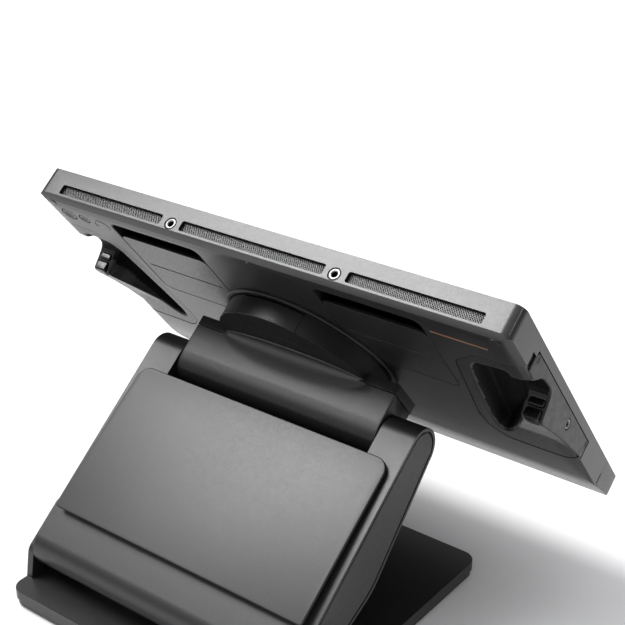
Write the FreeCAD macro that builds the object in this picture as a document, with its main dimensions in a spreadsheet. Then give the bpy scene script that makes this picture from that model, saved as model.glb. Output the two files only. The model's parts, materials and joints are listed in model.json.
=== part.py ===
import FreeCAD, Part
import math
import os
import Sketcher

# Pen display with a two-hinge desk stand.
# Row frame: +Z up, the user sits at -Y and reads the screen, +X is to the user's right.
# Origin: centre of the base's underside, on the desk.
# The display, neck and arm are drawn in a slanted frame whose origin is the centre of
# the glass face: x = row X, y = up along the screen (called v), z = out of the glass.
# Depths behind the glass are called w (w = -z).  Sizes are in millimetres.

DIMS = [
    ("tilt_deg", 51.0, "screen angle from the desk at rest"),
    ("disp_y", -130.0, "screen centre, row Y"),
    ("disp_z", 222.0, "screen centre, row Z"),
    ("disp_w", 497.0, "display width"),
    ("disp_h", 320.0, "display height"),
    ("edge_t", 26.2, "depth at the top rear edge"),
    ("back_t", 30.8, "depth at the flat of the back"),
    ("rim_t", 0.4, "rim step behind the glass face"),
    ("skin_t", 2.6, "housing wall"),
    ("corner_rad", 9.0, "display corner radius"),
    ("glass_t", 2.0, "cover glass"),
    ("seam_v", -118.0, "seam of the lower cover"),
    ("vent_w0", 14.3, "vent slot front edge"),
    ("vent_w1", 24.0, "vent slot rear edge"),
    ("vent_mid", 76.5, "centre vent half length"),
    ("vent_in", 99.0, "outer vent inner end"),
    ("vent_out", 223.0, "outer vent outer end"),
    ("acc_u", 87.4, "accessory hole offset"),
    ("acc_w", 20.2, "accessory hole depth"),
    ("acc_ring", 6.0, "accessory bush radius"),
    ("acc_bore", 2.5, "accessory bore radius"),
    ("acc_len", 8.0, "accessory bush length"),
    ("side_acc_v", -3.0, "side accessory hole height"),
    ("bay_u0", 60.8, "port bay inner side"),
    ("bay_u1", 166.2, "port bay outer side"),
    ("bay_v0", 30.6, "port bay lower side"),
    ("bay_v1", 144.4, "port bay upper side"),
    ("bay_floor", 16.4, "port bay floor depth"),
    ("cover_v1", 124.0, "port cover top edge"),
    ("cover_t", 2.0, "port cover thickness"),
    ("hub_v", 14.0, "hub axis height"),
    ("hub_rad", 82.1, "hub drum radius"),
    ("hub_face", 53.0, "hub face depth"),
    ("ring_rad", 86.8, "trim ring radius"),
    ("ring_w", 33.6, "trim ring top depth"),
    ("neck_half", 111.7, "neck half width"),
    ("plate_w0", 46.0, "neck plate front"),
    ("plate_w1", 55.0, "neck plate rear"),
    ("tilt_v", 7.5, "tilt axis height"),
    ("tilt_w", 87.2, "tilt axis depth"),
    ("barrel_rad", 20.2, "hinge barrel radius"),
    ("arm_half", 147.5, "arm half width"),
    ("notch_half", 113.2, "arm notch half width"),
    ("notch_w", 111.0, "arm notch depth"),
    ("arm_top", 27.7, "arm rear face"),
    ("lift_v", 7.5, "lift axis height in the slanted frame"),
    ("lift_w", 291.0, "lift axis depth in the slanted frame"),
    ("shaft_rad", 6.0, "hinge shaft radius"),
    ("base_half", 155.0, "base half width"),
    ("base_front", 150.0, "base front edge"),
    ("base_back", 146.0, "base rear edge"),
    ("base_t", 17.0, "base plate height"),
    ("foot_t", 2.0, "foot height"),
    ("key_u", 240.5, "express key centre"),
    ("key_len", 14.0, "express key length"),
]

OPERATIONS = {"+": float.__add__, "-": float.__sub__, "*": float.__mul__, "/": float.__truediv__}


class Dim:
    """A size from the sheet: its value, and the expression that gives it."""

    def __init__(self, value, formula):
        self.value = float(value)
        self.formula = formula

    def _join(self, other, sign, swapped=False):
        if not isinstance(other, Dim):
            other = Dim(other, "%.6g" % other if other >= 0 else "(%.6g)" % other)
        left, right = (other, self) if swapped else (self, other)
        value = OPERATIONS[sign](left.value, right.value)
        return Dim(value, "(%s %s %s)" % (left.formula, sign, right.formula))

    def __float__(self):
        return self.value

    def __add__(self, other):
        return self._join(other, "+")

    def __radd__(self, other):
        return self._join(other, "+", True)

    def __sub__(self, other):
        return self._join(other, "-")

    def __rsub__(self, other):
        return self._join(other, "-", True)

    def __mul__(self, other):
        return self._join(other, "*")

    def __rmul__(self, other):
        return self._join(other, "*", True)

    def __truediv__(self, other):
        return self._join(other, "/")

    def __neg__(self):
        return self._join(-1.0, "*")


class Sheet:
    """The driving dimensions, one Dim per alias."""

    def __init__(self, document):
        cells = document.addObject("Spreadsheet::Sheet", "Dims")
        for row, (alias, value, note) in enumerate(DIMS, start=1):
            cells.set("A%d" % row, alias.replace("_", " ") + ", " + note)
            cells.set("B%d" % row, "%g" % value)
            cells.setAlias("B%d" % row, alias)
            setattr(self, alias, Dim(value, "Dims." + alias))
        document.recompute()


doc = FreeCAD.newDocument("pen_display")
dim = Sheet(doc)
Vector = FreeCAD.Vector
Rotation = FreeCAD.Rotation
Placement = FreeCAD.Placement

X_AXIS, Y_AXIS, Z_AXIS = Vector(1, 0, 0), Vector(0, 1, 0), Vector(0, 0, 1)
SLANT = Placement(Vector(0, float(dim.disp_y), float(dim.disp_z)),
                  Rotation(X_AXIS, float(dim.tilt_deg)))
# Turn a cylinder from Z to each axis.
TURNS = {"X": Rotation(Y_AXIS, 90), "Y": Rotation(X_AXIS, -90), "Z": Rotation()}
# Model axes of a sketch plane: sketch x, sketch y, pad direction.
PLANE_AXES = {"XY": (0, 1, 2), "YZ": (1, 2, 0), "XZ": (0, 2, 1)}
SIDES = (-1, 1)
NAMED_SIDES = ((1, "right"), (-1, "left"))

# Places and sizes shared by several pieces.
half_w = dim.disp_w / 2
half_h = dim.disp_h / 2
bay_mid = (dim.bay_u0 + dim.bay_u1) / 2
VENTS = ((-dim.vent_mid, dim.vent_mid), (dim.vent_in, dim.vent_out),
         (-dim.vent_out, -dim.vent_in))
SEAM_HALF_GAP = 0.15
FOOT_X, FOOT_Z = 230.0, -12.5                # feet under the display's lower edge
PLUG_X, PLUG_Y = 233.5, 149.0                # screw plugs in the back
MOUNT_HALF_PITCH = 37.5
MOUNT_SPOTS = [(x, dim.hub_v + y) for x in (-MOUNT_HALF_PITCH, MOUNT_HALF_PITCH)
               for y in (-MOUNT_HALF_PITCH, MOUNT_HALF_PITCH)]
# Buttons: name, x, y, hole radius, cap radius, stem radius, switch dome radius.
BUTTONS = (("power", 221.7, 135.7, 8.4, 8.2, 3.0, 3.4),
           ("touch", 202.3, 135.3, 6.2, 6.0, 2.4, 3.0))
SIDE_ACC_Z = -19.5                           # accessory bushes in the side edges
SIDE_SCREW_V, SIDE_SCREW_Z = (-56.0, 100.0), -13.6
FAN_X, FAN_Y = 34.0, 122.0
NECK_V0, NECK_V1 = -12.5, 31.0               # neck plate, lower and upper edge
NECK_SCREW_X, NECK_SCREW_Y = (-90.0, -60.0, 60.0, 90.0), 9.0
DRUM_WALL = 3.4
BARREL_BORE = 15.0
TILT_SHAFT_HALF, LIFT_SHAFT_HALF = 146.0, 151.0
COVER_HALF, COVER_TOP_W, COVER_CORNER = 139.5, 111.5, 13.0   # arm cable cover
BASE_PLATE_T = 6.0
BASE_CORNER = 14.0
BRACKET_X0, BRACKET_X1, BRACKET_RAD = 148.5, 151.5, 10.5
BRACKET_GAP = 0.5


# ---------------------------------------------------------------- modelling helpers
made = []
pieces = []


def add(kind, stem):
    """New object with a numbered name, so that no piece's Label is taken."""
    made.append(stem)
    return doc.addObject(kind, numbered(stem))


def numbered(stem):
    return "%s_%03d" % (stem, len(made))


def add_to(body, kind, stem):
    made.append(stem)
    return body.newObject(kind, numbered(stem))


def bind(obj, path, size):
    if isinstance(size, Dim):
        obj.setExpression(path, size.formula)


def set_size(obj, prop, size):
    setattr(obj, prop, float(size))
    bind(obj, prop, size)


def place(obj, x, y, z, rotation):
    obj.Placement = Placement(Vector(float(x), float(y), float(z)), rotation)
    for axis, size in (("x", x), ("y", y), ("z", z)):
        bind(obj, "Placement.Base." + axis, size)


def add_piece(label, obj, slanted=True):
    """Declare an object as one finished piece of the product."""
    if slanted:
        # A bare primitive's placement holds its own offset, so it is wrapped first.
        if obj.TypeId in ("Part::Box", "Part::Cylinder"):
            obj = group([obj], "framed")
        obj.Placement = SLANT
        obj.setExpression("Placement.Base.y", dim.disp_y.formula)
        obj.setExpression("Placement.Base.z", dim.disp_z.formula)
    obj.Label = label
    pieces.append((label, obj))


def box(x_range, y_range, z_range, stem="box"):
    obj = add("Part::Box", stem)
    ranges = (x_range, y_range, z_range)
    for prop, (low, high) in zip(("Length", "Width", "Height"), ranges):
        set_size(obj, prop, high - low)
    place(obj, x_range[0], y_range[0], z_range[0], Rotation())
    return obj


def cylinder(x, y, z, radius, length, axis="Z"):
    obj = add("Part::Cylinder", "cyl")
    set_size(obj, "Radius", radius)
    set_size(obj, "Height", length)
    place(obj, x, y, z, TURNS[axis])
    return obj


def axle(half_length, y, z, radius):
    """Cylinder along X, centred on the middle plane."""
    return cylinder(-half_length, y, z, radius, half_length * 2, "X")


def span(side, near, far):
    """X range between two distances from the middle plane, low end first."""
    return (near, far) if side > 0 else (-far, -near)


def side_cylinder(side, near, far, y, z, radius):
    """Cylinder along X between two distances from the middle plane."""
    return cylinder(span(side, near, far)[0], y, z, radius, far - near, "X")


def tube(x, y, z, radius, bore, length, axis):
    """Cylinder along X or Y with a through bore; the bore tool overshoots by 1."""
    start = (x - 1, y, z) if axis == "X" else (x, y - 1, z)
    return cut(cylinder(x, y, z, radius, length, axis),
               [cylinder(*start, bore, length + 2, axis)])


def fuse(parts, stem="fuse"):
    if len(parts) == 1:
        return parts[0]
    obj = add("Part::MultiFuse", stem)
    obj.Shapes = parts
    obj.Refine = True
    return obj


def group(parts, stem="group"):
    """Separate solids kept side by side as one piece."""
    obj = add("Part::Compound", stem)
    obj.Links = parts
    return obj


def boolean(kind, base, tool, stem):
    obj = add(kind, stem)
    obj.Base = base
    obj.Tool = tool
    obj.Refine = True
    return obj


def cut(base, tools, stem="cut"):
    return boolean("Part::Cut", base, fuse(tools, "tools"), stem)


def common(base, tool, stem="common"):
    return boolean("Part::Common", base, tool, stem)


def constrain(sketch, size, kind, *where):
    index = sketch.addConstraint(Sketcher.Constraint(kind, *where, float(size)))
    bind(sketch, "Constraints[%d]" % index, size)


def fix_point(sketch, geometry, point, x, y):
    """Dimension one point of a sketch element from the sketch origin."""
    constrain(sketch, x, "DistanceX", -1, 1, geometry, point)
    constrain(sketch, y, "DistanceY", -1, 1, geometry, point)


def draw_polygon(sketch, points):
    count = len(points)
    first = sketch.GeometryCount
    corners = [Vector(float(x), float(y), 0) for x, y in points]
    for i in range(count):
        sketch.addGeometry(Part.LineSegment(corners[i], corners[(i + 1) % count]), False)
    for i in range(count):
        sketch.addConstraint(
            Sketcher.Constraint("Coincident", first + i, 2, first + (i + 1) % count, 1))
    for i, (x, y) in enumerate(points):
        fix_point(sketch, first + i, 1, x, y)


def draw_circle(sketch, x, y, radius):
    circle = Part.Circle(Vector(float(x), float(y), 0), Z_AXIS, float(radius))
    index = sketch.addGeometry(circle, False)
    fix_point(sketch, index, 3, x, y)
    constrain(sketch, radius, "Radius", index)


def pad_body(plane, offset, length, outlines, circles, stem):
    """Body with one padded sketch; offset and pad run along the plane's normal."""
    body = add("PartDesign::Body", stem)
    sketch = add_to(body, "Sketcher::SketchObject", "sketch")
    origin_plane = next(f for f in body.Origin.OriginFeatures if f.Role == plane + "_Plane")
    sketch.AttachmentSupport = [(origin_plane, "")]
    sketch.MapMode = "FlatFace"
    sketch.AttachmentOffset = Placement(Vector(0, 0, float(offset)), Rotation())
    bind(sketch, "AttachmentOffset.Base.z", offset)
    for outline in outlines:
        draw_polygon(sketch, outline)
    for circle in circles:
        draw_circle(sketch, *circle)
    pad = add_to(body, "PartDesign::Pad", "pad")
    pad.Profile = sketch
    set_size(pad, "Length", length)
    sketch.Visibility = False
    return body


def corner_edges(shape, plane, corners):
    """Names of the edges that run along the pad through the given corners."""
    across, up, along = PLANE_AXES[plane]
    names = []
    for index, edge in enumerate(shape.Edges, start=1):
        if len(edge.Vertexes) != 2:
            continue
        start, end = [vertex.Point for vertex in edge.Vertexes]
        if abs(start[across] - end[across]) > 1e-4 or abs(start[up] - end[up]) > 1e-4:
            continue
        if abs(start[along] - end[along]) < 1e-3:
            continue
        for x, y in corners:
            if abs(start[across] - float(x)) < 1e-3 and abs(start[up] - float(y)) < 1e-3:
                names.append("Edge%d" % index)
    return names


def prism(plane, offset, length, points, rounds=(), holes=(), circles=(), stem="prism"):
    """Padded polygon; rounds is a list of (radius, indices of the corners it rounds).

    The normal of the XZ plane is -Y, so XZ prisms start high in y and run down.
    """
    body = pad_body(plane, offset, length, [points] + list(holes), circles, stem)
    doc.recompute()
    tip = body.Tip
    for radius, indices in rounds:
        names = corner_edges(body.Shape, plane, [points[i] for i in indices])
        if len(names) != len(indices):
            raise RuntimeError("edge count %s %s" % (body.Name, names))
        fillet = add_to(body, "PartDesign::Fillet", "round")
        fillet.Base = (tip, names)
        set_size(fillet, "Radius", radius)
        doc.recompute()
        tip = fillet
    return body


def slab(z, thickness, outline, radius, stem, **extra):
    """Rectangle padded along Z with all four corners rounded."""
    return prism("XY", z, thickness, outline, [(radius, range(4))], stem=stem, **extra)


def profile(x, length, points, stem, rounds=()):
    """Side outline of (v, w) points padded along X."""
    return prism("YZ", x, length, [(v, -w) for v, w in points], rounds, stem=stem)


def disc(z, thickness, x, y, radius, bore=None, stem="disc"):
    circles = [(x, y, radius)]
    if bore is not None:
        circles.append((x, y, bore))
    return pad_body("XY", z, thickness, (), circles, stem)


def hub_disc(z, thickness, radius, bore=None, stem="disc"):
    return disc(z, thickness, 0, dim.hub_v, radius, bore, stem)


def rect(x0, y0, x1, y1):
    return [(x0, y0), (x1, y0), (x1, y1), (x0, y1)]


def centred_rect(half_x, half_y):
    return rect(-half_x, -half_y, half_x, half_y)


def mirrored(side, points):
    return [(side * x, y) for x, y in points]


# ---------------------------------------------------------------- display housing
# Rounded shoulder of the back: inset from the edge, depth beyond edge_t.
SHOULDER = [(0.0, 0.0), (2.2, 1.9), (6.5, 3.6), (12.5, 4.4)]
SHOULDER_INSET = 20.0                        # where the shoulder meets the flat back
# Grip window in the back, open to the side: x, y.
GRIP_WINDOW = [(178.5, 90.0), (176.5, 70.0), (171.0, 28.0), (165.5, -18.0), (168.0, -38.0),
               (182.0, -54.5), (260.0, -54.5), (260.0, 114.0), (205.0, 114.0)]


def shoulder(edge):
    """(position, w) points from an outer edge in to the flat of the back."""
    points = [(edge - inset, dim.edge_t + depth) for inset, depth in SHOULDER]
    return points + [(edge - SHOULDER_INSET, dim.back_t)]


def across(right, stem):
    """Cross-section padded down the display's height, from its right half's (x, w)."""
    left = [(-x, -w) for x, w in reversed(right)]
    points = [(-half_w, 1.0), (half_w, 1.0)] + [(x, -w) for x, w in right] + left
    return prism("XZ", -half_h - 1, dim.disp_h + 2, points, stem=stem)


def bay_rect(side, inset):
    x0, x1 = span(side, dim.bay_u0, dim.bay_u1)
    return rect(x0 + inset, dim.bay_v0 + inset, x1 - inset, dim.bay_v1 - inset)


def plug_seat(x):
    return cylinder(x, PLUG_Y, -34, 4.3, 6)


def side_openings(side):
    """Housing openings that repeat on each side."""
    groove_x = span(side, half_w - 1.3, half_w + 1.0)
    groove_z = (-24.5, -14.0)
    return [
        cylinder(side * dim.acc_u, half_h - 9.5, -dim.acc_w, dim.acc_ring, 11.5, "Y"),
        slab(-33, 6.5, bay_rect(side, 0.0), 9.0, "window"),
        prism("XY", -33, 33 - 14.0, mirrored(side, GRIP_WINDOW),
              [(24.0, [0]), (14.0, [4, 5]), (20.0, [8])], stem="grip_window"),
        # side panel opening, and a groove above and below it
        box(span(side, half_w - 2.61, 252.0), (-60.0, 106.0), (-25.7, -8.75)),
        box(groove_x, (110.7, 112.2), groove_z),
        box(groove_x, (-116.8, -115.3), groove_z),
        plug_seat(side * PLUG_X),
    ]


def housing_openings():
    tools = [prism("XZ", -half_h - 1, 5.0, rect(x0, -dim.vent_w1, x1, -dim.vent_w0),
                   [(2.0, range(4))], stem="vent") for x0, x1 in VENTS]
    for side in SIDES:
        tools += side_openings(side)
    tools.append(plug_seat(0))
    tools += [cylinder(x, y, -34, 2.05, 8) for x, y in MOUNT_SPOTS]
    tools += [cylinder(x, y, -34, hole, 8) for name, x, y, hole, cap, stem, dome in BUTTONS]
    # inlay seat
    tools.append(box((-223.0, -172.0), (131.2, 133.4), (-32.0, -30.1)))
    return tools


def seated(label, raw, seat):
    """Cut the glass seat out of a case part and declare it."""
    raw.Label = label + "_raw"
    add_piece(label, cut(raw, [seat], "seated"))


def rear_housing(plan, seat):
    seam = dim.seam_v + SEAM_HALF_GAP
    outer = profile(
        -half_w, dim.disp_w,
        [(seam, dim.rim_t), (half_h, dim.rim_t)] + shoulder(half_h)
        + [(-60, dim.back_t), (-78, dim.back_t - 0.4), (-98, dim.back_t - 1.9),
           (seam, dim.edge_t)], "outer")
    shell = common(common(outer, plan), across(shoulder(half_w), "across"), "shell")
    inner_top = half_h - dim.skin_t
    inner = profile(
        -half_w + dim.skin_t, dim.disp_w - dim.skin_t * 2,
        [(-125, 0), (inner_top, 0), (inner_top, 24.2), (half_h - 11, 28.0), (-60, 28.0),
         (-98, 26.3), (-125, 22.8)], "inner")
    inner = common(inner, across([(half_w, 23.9), (half_w - 11.0, 28.0)], "inner_across"))
    seated("rear_housing", cut(shell, [inner] + housing_openings(), "housing"), seat)


def bottom_cover(plan, seat):
    """Separate piece below the seam."""
    seam = dim.seam_v - SEAM_HALF_GAP
    outer = profile(
        -half_w, dim.disp_w,
        [(-half_h, dim.rim_t), (seam, dim.rim_t), (seam, dim.edge_t - 0.05),
         (-half_h + 2.0, 18.9), (-half_h, 17.4)], "low_outer")
    cover = common(outer, plan, "low")
    floor = -half_h + dim.skin_t
    hollow = profile(
        -half_w + dim.skin_t, dim.disp_w - dim.skin_t * 2,
        [(floor, 0), (-110, 0), (-110, 22.6), (dim.seam_v - 2, 22.6), (floor, 15.6)], "low_in")
    foot_seats = [cylinder(side * FOOT_X, -half_h - 1, FOOT_Z, 4.0, 3.0, "Y")
                  for side in SIDES]
    seated("bottom_cover", cut(cover, [hollow] + foot_seats, "low_cover"), seat)


def display_case():
    plan = slab(-dim.back_t - 1, dim.back_t + 1, centred_rect(half_w, half_h),
                dim.corner_rad, "plan")
    seat = slab(-dim.glass_t - 0.05, 5, centred_rect(half_w - 1.1, half_h - 1.1),
                dim.corner_rad - 1.1, "glass_seat")
    rear_housing(plan, seat)
    bottom_cover(plan, seat)
    add_piece("display_feet", group([
        cylinder(side * FOOT_X, -half_h - 1.5, FOOT_Z, 3.9, 3.3, "Y") for side in SIDES]))


# ---------------------------------------------------------------- glass and screen stack
def screen_stack():
    """Glass, frame, panel, pen sensor and chassis, all parallel to the glass face."""
    add_piece("front_glass", slab(
        -dim.glass_t, dim.glass_t, centred_rect(half_w - 1.2, half_h - 1.2),
        dim.corner_rad - 1.2, "glass"))
    add_piece("middle_frame", slab(
        -11.2, 9.1, centred_rect(245.6, 157.2), 6.0, "mid_frame",
        holes=[centred_rect(243.2, 154.8)]))
    add_piece("lcd_panel", slab(-9.2, 7.1, centred_rect(242.8, 148.0), 2.0, "lcd"))
    add_piece("pen_sensor_board", slab(-10.4, 1.0, centred_rect(241.0, 146.0), 2.0, "sensor"))
    add_piece("chassis_plate", slab(
        -13.0, 1.6, rect(-244.8, -155.5, 244.8, 155.0), 6.0, "chassis",
        circles=[(0, dim.hub_v, 6.0)]))


# ---------------------------------------------------------------- electronics
BOARD_Z, BOARD_T = -19.8, 1.6
BOARD_SPOTS = [(x, y) for x in (-50.0, 144.0) for y in (-86.0, -26.0)]
# Chips on the main board: x range, y range, rear face z.
CHIPS = [((0.0, 24.0), (-70.0, -46.0), -21.4), ((60.0, 78.0), (-66.0, -48.0), -21.2),
         ((100.0, 118.0), (-80.0, -70.0), -22.0), ((-40.0, -28.0), (-60.0, -48.0), -21.0)]


def main_board():
    board = slab(BOARD_Z, BOARD_T, rect(-56.0, -92.0, 150.0, -20.0), 3.0, "board")
    posts = [cylinder(x, y, BOARD_Z + BOARD_T, 2.5, 5.2) for x, y in BOARD_SPOTS]
    screws = [cylinder(x, y, -21.4, 2.4, 1.6) for x, y in BOARD_SPOTS]
    add_piece("board_fasteners", group(posts + screws))
    chips = [box(x_range, y_range, (rear, BOARD_Z)) for x_range, y_range, rear in CHIPS]
    add_piece("main_board", group([board] + chips))


def heat_sink():
    x0, width, low_v, high_v = -8.0, 40.0, -76.0, -40.0
    fin_pitch, fin_t, fin_count = 4.0, 1.0, 10
    plate = profile(x0, width, [(low_v, 21.4), (high_v, 21.4), (high_v, 23.0), (low_v, 23.0)],
                    "sink")
    fins = []
    for k in range(fin_count):
        y = low_v + fin_pitch * k
        fins.append(box((x0, x0 + width), (y, y + fin_t), (-27.0, -22.9)))
    add_piece("heat_sink", fuse([plate] + fins))


def fan_case(side):
    """Blower case, open at the top edge and round its rear inlet."""
    x, y = side * FAN_X, FAN_Y
    case = prism("XY", -25.3, 11.9, rect(x - 26.0, y - 26.0, x + 26.0, 154.6),
                 [(8.0, [0, 1])], stem="fan_case")
    hollow = fuse([cylinder(x, y, -24.1, 23.0, 9.3),
                   box((x - 22.0, x + 22.0), (y, 160.0), (-24.1, -14.8))])
    inlet = cylinder(x, y, -30.0, 15.0, 7.0)
    pin = cylinder(x, y, -23.4, 1.5, 10.0)
    return fuse([cut(case, [hollow, inlet]), pin])


def fan_rotor(side):
    x, y = side * FAN_X, FAN_Y
    blade_count, blade_ring, blade_sweep = 13, 12.6, 28
    hub = disc(-23.3, 7.8, x, y, 9.0, 1.55, stem="rotor")
    web = disc(-20.4, 1.0, x, y, 21.0, 8.9, stem="rotor_web")
    blades = []
    for k in range(blade_count):
        angle = 2 * math.pi * k / blade_count
        blade = box((0, 8.0), (0, 0.9), (0, 7.6), "blade")
        place(blade, x + blade_ring * math.cos(angle), y + blade_ring * math.sin(angle), -23.2,
              Rotation(Z_AXIS, math.degrees(angle) - blade_sweep))
        blades.append(blade)
    return fuse([hub, web] + blades, "rotor")


def fans():
    """Two blowers below the top vents."""
    add_piece("fan_cases", group([fan_case(side) for side in SIDES]))
    for side, name in NAMED_SIDES:
        add_piece("fan_rotor_" + name, fan_rotor(side))


def vent_grilles():
    """Slotted strips behind the top vents."""
    pitch, opening, end_margin = 5.0, 3.4, 2.0
    inner_face = half_h - dim.skin_t
    grilles = []
    for x0, x1 in VENTS:
        strip = box((x0 - 1.5, x1 + 1.5), (inner_face - 1.8, inner_face - 0.02),
                    (-dim.vent_w1 - 0.1, -dim.vent_w0 + 1.0), "grille")
        first = float(x0) + end_margin
        count = int((float(x1) - float(x0) - 2 * end_margin) // pitch) + 1
        openings = []
        for k in range(count):
            x = first + pitch * k
            openings.append(box((x, x + opening), (150.0, 162.0), (-23.2, -15.1), "louvre"))
        grilles.append(cut(strip, openings))
    add_piece("vent_grilles", group(grilles))


def accessory_bushes():
    """Two bushes in the top edge and one in each side edge."""
    top = [tube(side * dim.acc_u, half_h - dim.acc_len, -dim.acc_w, dim.acc_ring - 0.05,
                dim.acc_bore, dim.acc_len - 0.1, "Y") for side in SIDES]
    edge = [tube(span(side, half_w - 6.0, half_w - 0.1)[0], dim.side_acc_v, SIDE_ACC_Z, 5.4,
                 dim.acc_bore, 5.9, "X") for side in SIDES]
    add_piece("accessory_bushes", group(top + edge))


def back_trim():
    plugs = [cylinder(x, PLUG_Y, -30.6, 4.2, 2.4) for x in (-PLUG_X, 0.0, PLUG_X)]
    add_piece("screw_plugs", group(plugs))
    add_piece("accent_inlay", box((-222.9, -172.1), (131.3, 133.3), (-31.0, -30.15)))


def buttons():
    """Power button and touch switch, each with its switch in front of it."""
    domes = []
    for name, x, y, hole, cap, stem, dome in BUTTONS:
        add_piece(name + "_button", fuse([cylinder(x, y, -31.1, cap, 3.4),
                                          cylinder(x, y, -27.8, stem, 3.0)]))
        domes.append(cylinder(x, y, -23.6, dome, 5.0))
    board = slab(-18.6, 1.4, rect(190.0, 122.0, 236.0, 148.0), 2.0, "switch_board")
    add_piece("switch_board", group([board] + domes))


# ---------------------------------------------------------------- port bays
# Sockets in a bay: offset from the bay's middle, width, depth along z.
SOCKETS = ((-32.0, 9.2, 3.4), (-12.0, 9.2, 3.4), (10.0, 15.2, 5.8), (33.0, 8.4, 6.0))
SOCKET_Z = -17.6                             # rear face of the socket board
SOCKET_WALL = 0.6
SOCKET_TOP = 66.0


def port_bay(side):
    tub = slab(-30.6, 15.4, bay_rect(side, 0.05), 8.9, "tub")
    hollow = slab(-32, 32 - dim.bay_floor, bay_rect(side, 1.3), 7.6, "tub_hollow")
    return cut(tub, [hollow])


def port_sockets(side):
    """Four sockets and the board they stand on."""
    middle = side * bay_mid
    parts = []
    for offset, width, depth in SOCKETS:
        x0, x1 = middle + offset - width / 2, middle + offset + width / 2
        z0 = SOCKET_Z - depth
        case = box((x0, x1), (50.0, SOCKET_TOP), (z0, SOCKET_Z))
        mouth = box((x0 + SOCKET_WALL, x1 - SOCKET_WALL), (54.0, SOCKET_TOP + 1),
                    (z0 + SOCKET_WALL, SOCKET_Z - SOCKET_WALL))
        parts.append(cut(case, [mouth]))
    parts.append(box((middle - 44.0, middle + 44.0), (48.0, SOCKET_TOP), (SOCKET_Z, -16.42)))
    return parts


def port_cover(side):
    """Flat cover with a lip near its top edge and a groove across its back."""
    x0, x1 = span(side, dim.bay_u0, dim.bay_u1)
    middle = side * bay_mid
    plate = slab(-dim.back_t, dim.cover_t,
                 rect(x0 + 1.7, dim.bay_v0 + 1.7, x1 - 1.7, dim.cover_v1), 7.0, "cover")
    groove = box((middle - 44.0, middle + 44.0), (76.2, 78.0), (-31.5, -30.1))
    lip = box((x0 + 12.0, x1 - 12.0), (dim.cover_v1 - 3.6, dim.cover_v1 - 2.2), (-28.81, -26.8))
    return cut(fuse([plate, lip]), [groove])


def ports():
    add_piece("port_bays", group([port_bay(side) for side in SIDES]))
    add_piece("port_sockets", group([part for side in SIDES for part in port_sockets(side)]))
    for side, name in NAMED_SIDES:
        add_piece("port_cover_" + name, port_cover(side))


# ---------------------------------------------------------------- side grips
# Plan of the grip body and of its hollow: x, y.
GRIP_BODY = [(178.8, 89.8), (176.8, 70.0), (171.3, 28.0), (165.8, -18.0), (168.3, -37.8),
             (182.2, -54.3), (234.0, -54.3), (234.0, 113.8), (205.1, 113.8)]
GRIP_HOLLOW = [(190.0, 84.0), (186.0, 20.0), (181.0, -20.0), (184.0, -36.0), (195.0, -44.0),
               (218.0, -44.0), (232.0, -20.0), (232.0, 60.0), (236.0, 80.0), (236.0, 98.0),
               (206.0, 102.0)]
# Side outline of the fin along the outer edge: v, w.
GRIP_FIN = [(113.8, 26.3), (107.0, 26.5), (96.0, 27.5), (89.0, 26.6), (84.8, 24.3),
            (81.0, 19.8), (71.0, 17.4), (57.5, 16.8), (52.3, 19.2), (48.9, 23.5),
            (47.2, 31.0), (45.6, 38.0), (44.4, 41.0), (41.0, 41.9), (36.4, 41.3),
            (12.4, 36.2), (-13.5, 31.2), (-39.4, 27.6), (-54.3, 25.9),
            (-54.3, 14.2), (113.8, 14.2)]
FIN_X = 232.0
KEY_GAP = 0.15
# Express keys: name, z, thickness, lower edge, upper edge.
KEYS = (("upper", -31.0, 6.5, 39.2, 49.4), ("lower", -42.6, 9.6, 37.2, 47.9))


def key_span(side, gap):
    half = dim.key_len / 2 + gap
    return span(side, dim.key_u - half, dim.key_u + half)


def grip(side):
    """Body in the back window, fin on the outer edge and panel in the side edge."""
    body = prism("XY", -30.8, 16.6, mirrored(side, GRIP_BODY),
                 [(24.0, [0]), (13.8, [4, 5]), (19.8, [8])], stem="grip_body")
    hollow = prism("XY", -34, 34 - 15.8, mirrored(side, GRIP_HOLLOW),
                   [(16.0, [0]), (6.0, [3, 4, 5, 10])], stem="grip_hollow")
    outer_x = half_w - 0.1
    fin = profile(span(side, FIN_X, outer_x)[0], outer_x - FIN_X, GRIP_FIN, "fin")
    panel = box(span(side, half_w - dim.skin_t + 0.05, outer_x), (-59.9, 105.9),
                (-25.6, -8.85))
    key_x = key_span(side, KEY_GAP)
    holes = [box(key_x, (38.0, 56.0), (-31.15, -24.35)),
             box(key_x, (36.0, 56.0), (-46.0, -32.85)),
             side_cylinder(side, half_w - 6.5, half_w + 1.0, dim.side_acc_v, SIDE_ACC_Z, 5.45)]
    holes += [side_cylinder(side, half_w - 3.2, half_w + 0.6, v, SIDE_SCREW_Z, 1.9)
              for v in SIDE_SCREW_V]
    return cut(fuse([cut(body, [hollow]), fin, panel]), holes, "grip")


def grips():
    screws = []
    for side, name in NAMED_SIDES:
        add_piece("grip_" + name, grip(side))
        x0, x1 = key_span(side, 0.0)
        for level, z, thickness, y0, y1 in KEYS:
            key = prism("XY", z, thickness, rect(x0, y0, x1, y1), [(2.4, [2, 3])], stem="key")
            add_piece("express_key_%s_%s" % (name, level), key)
        screws += [side_cylinder(side, half_w - 3.1, half_w - 0.4, v, SIDE_SCREW_Z, 1.85)
                   for v in SIDE_SCREW_V]
    add_piece("side_screws", group(screws))


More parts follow.
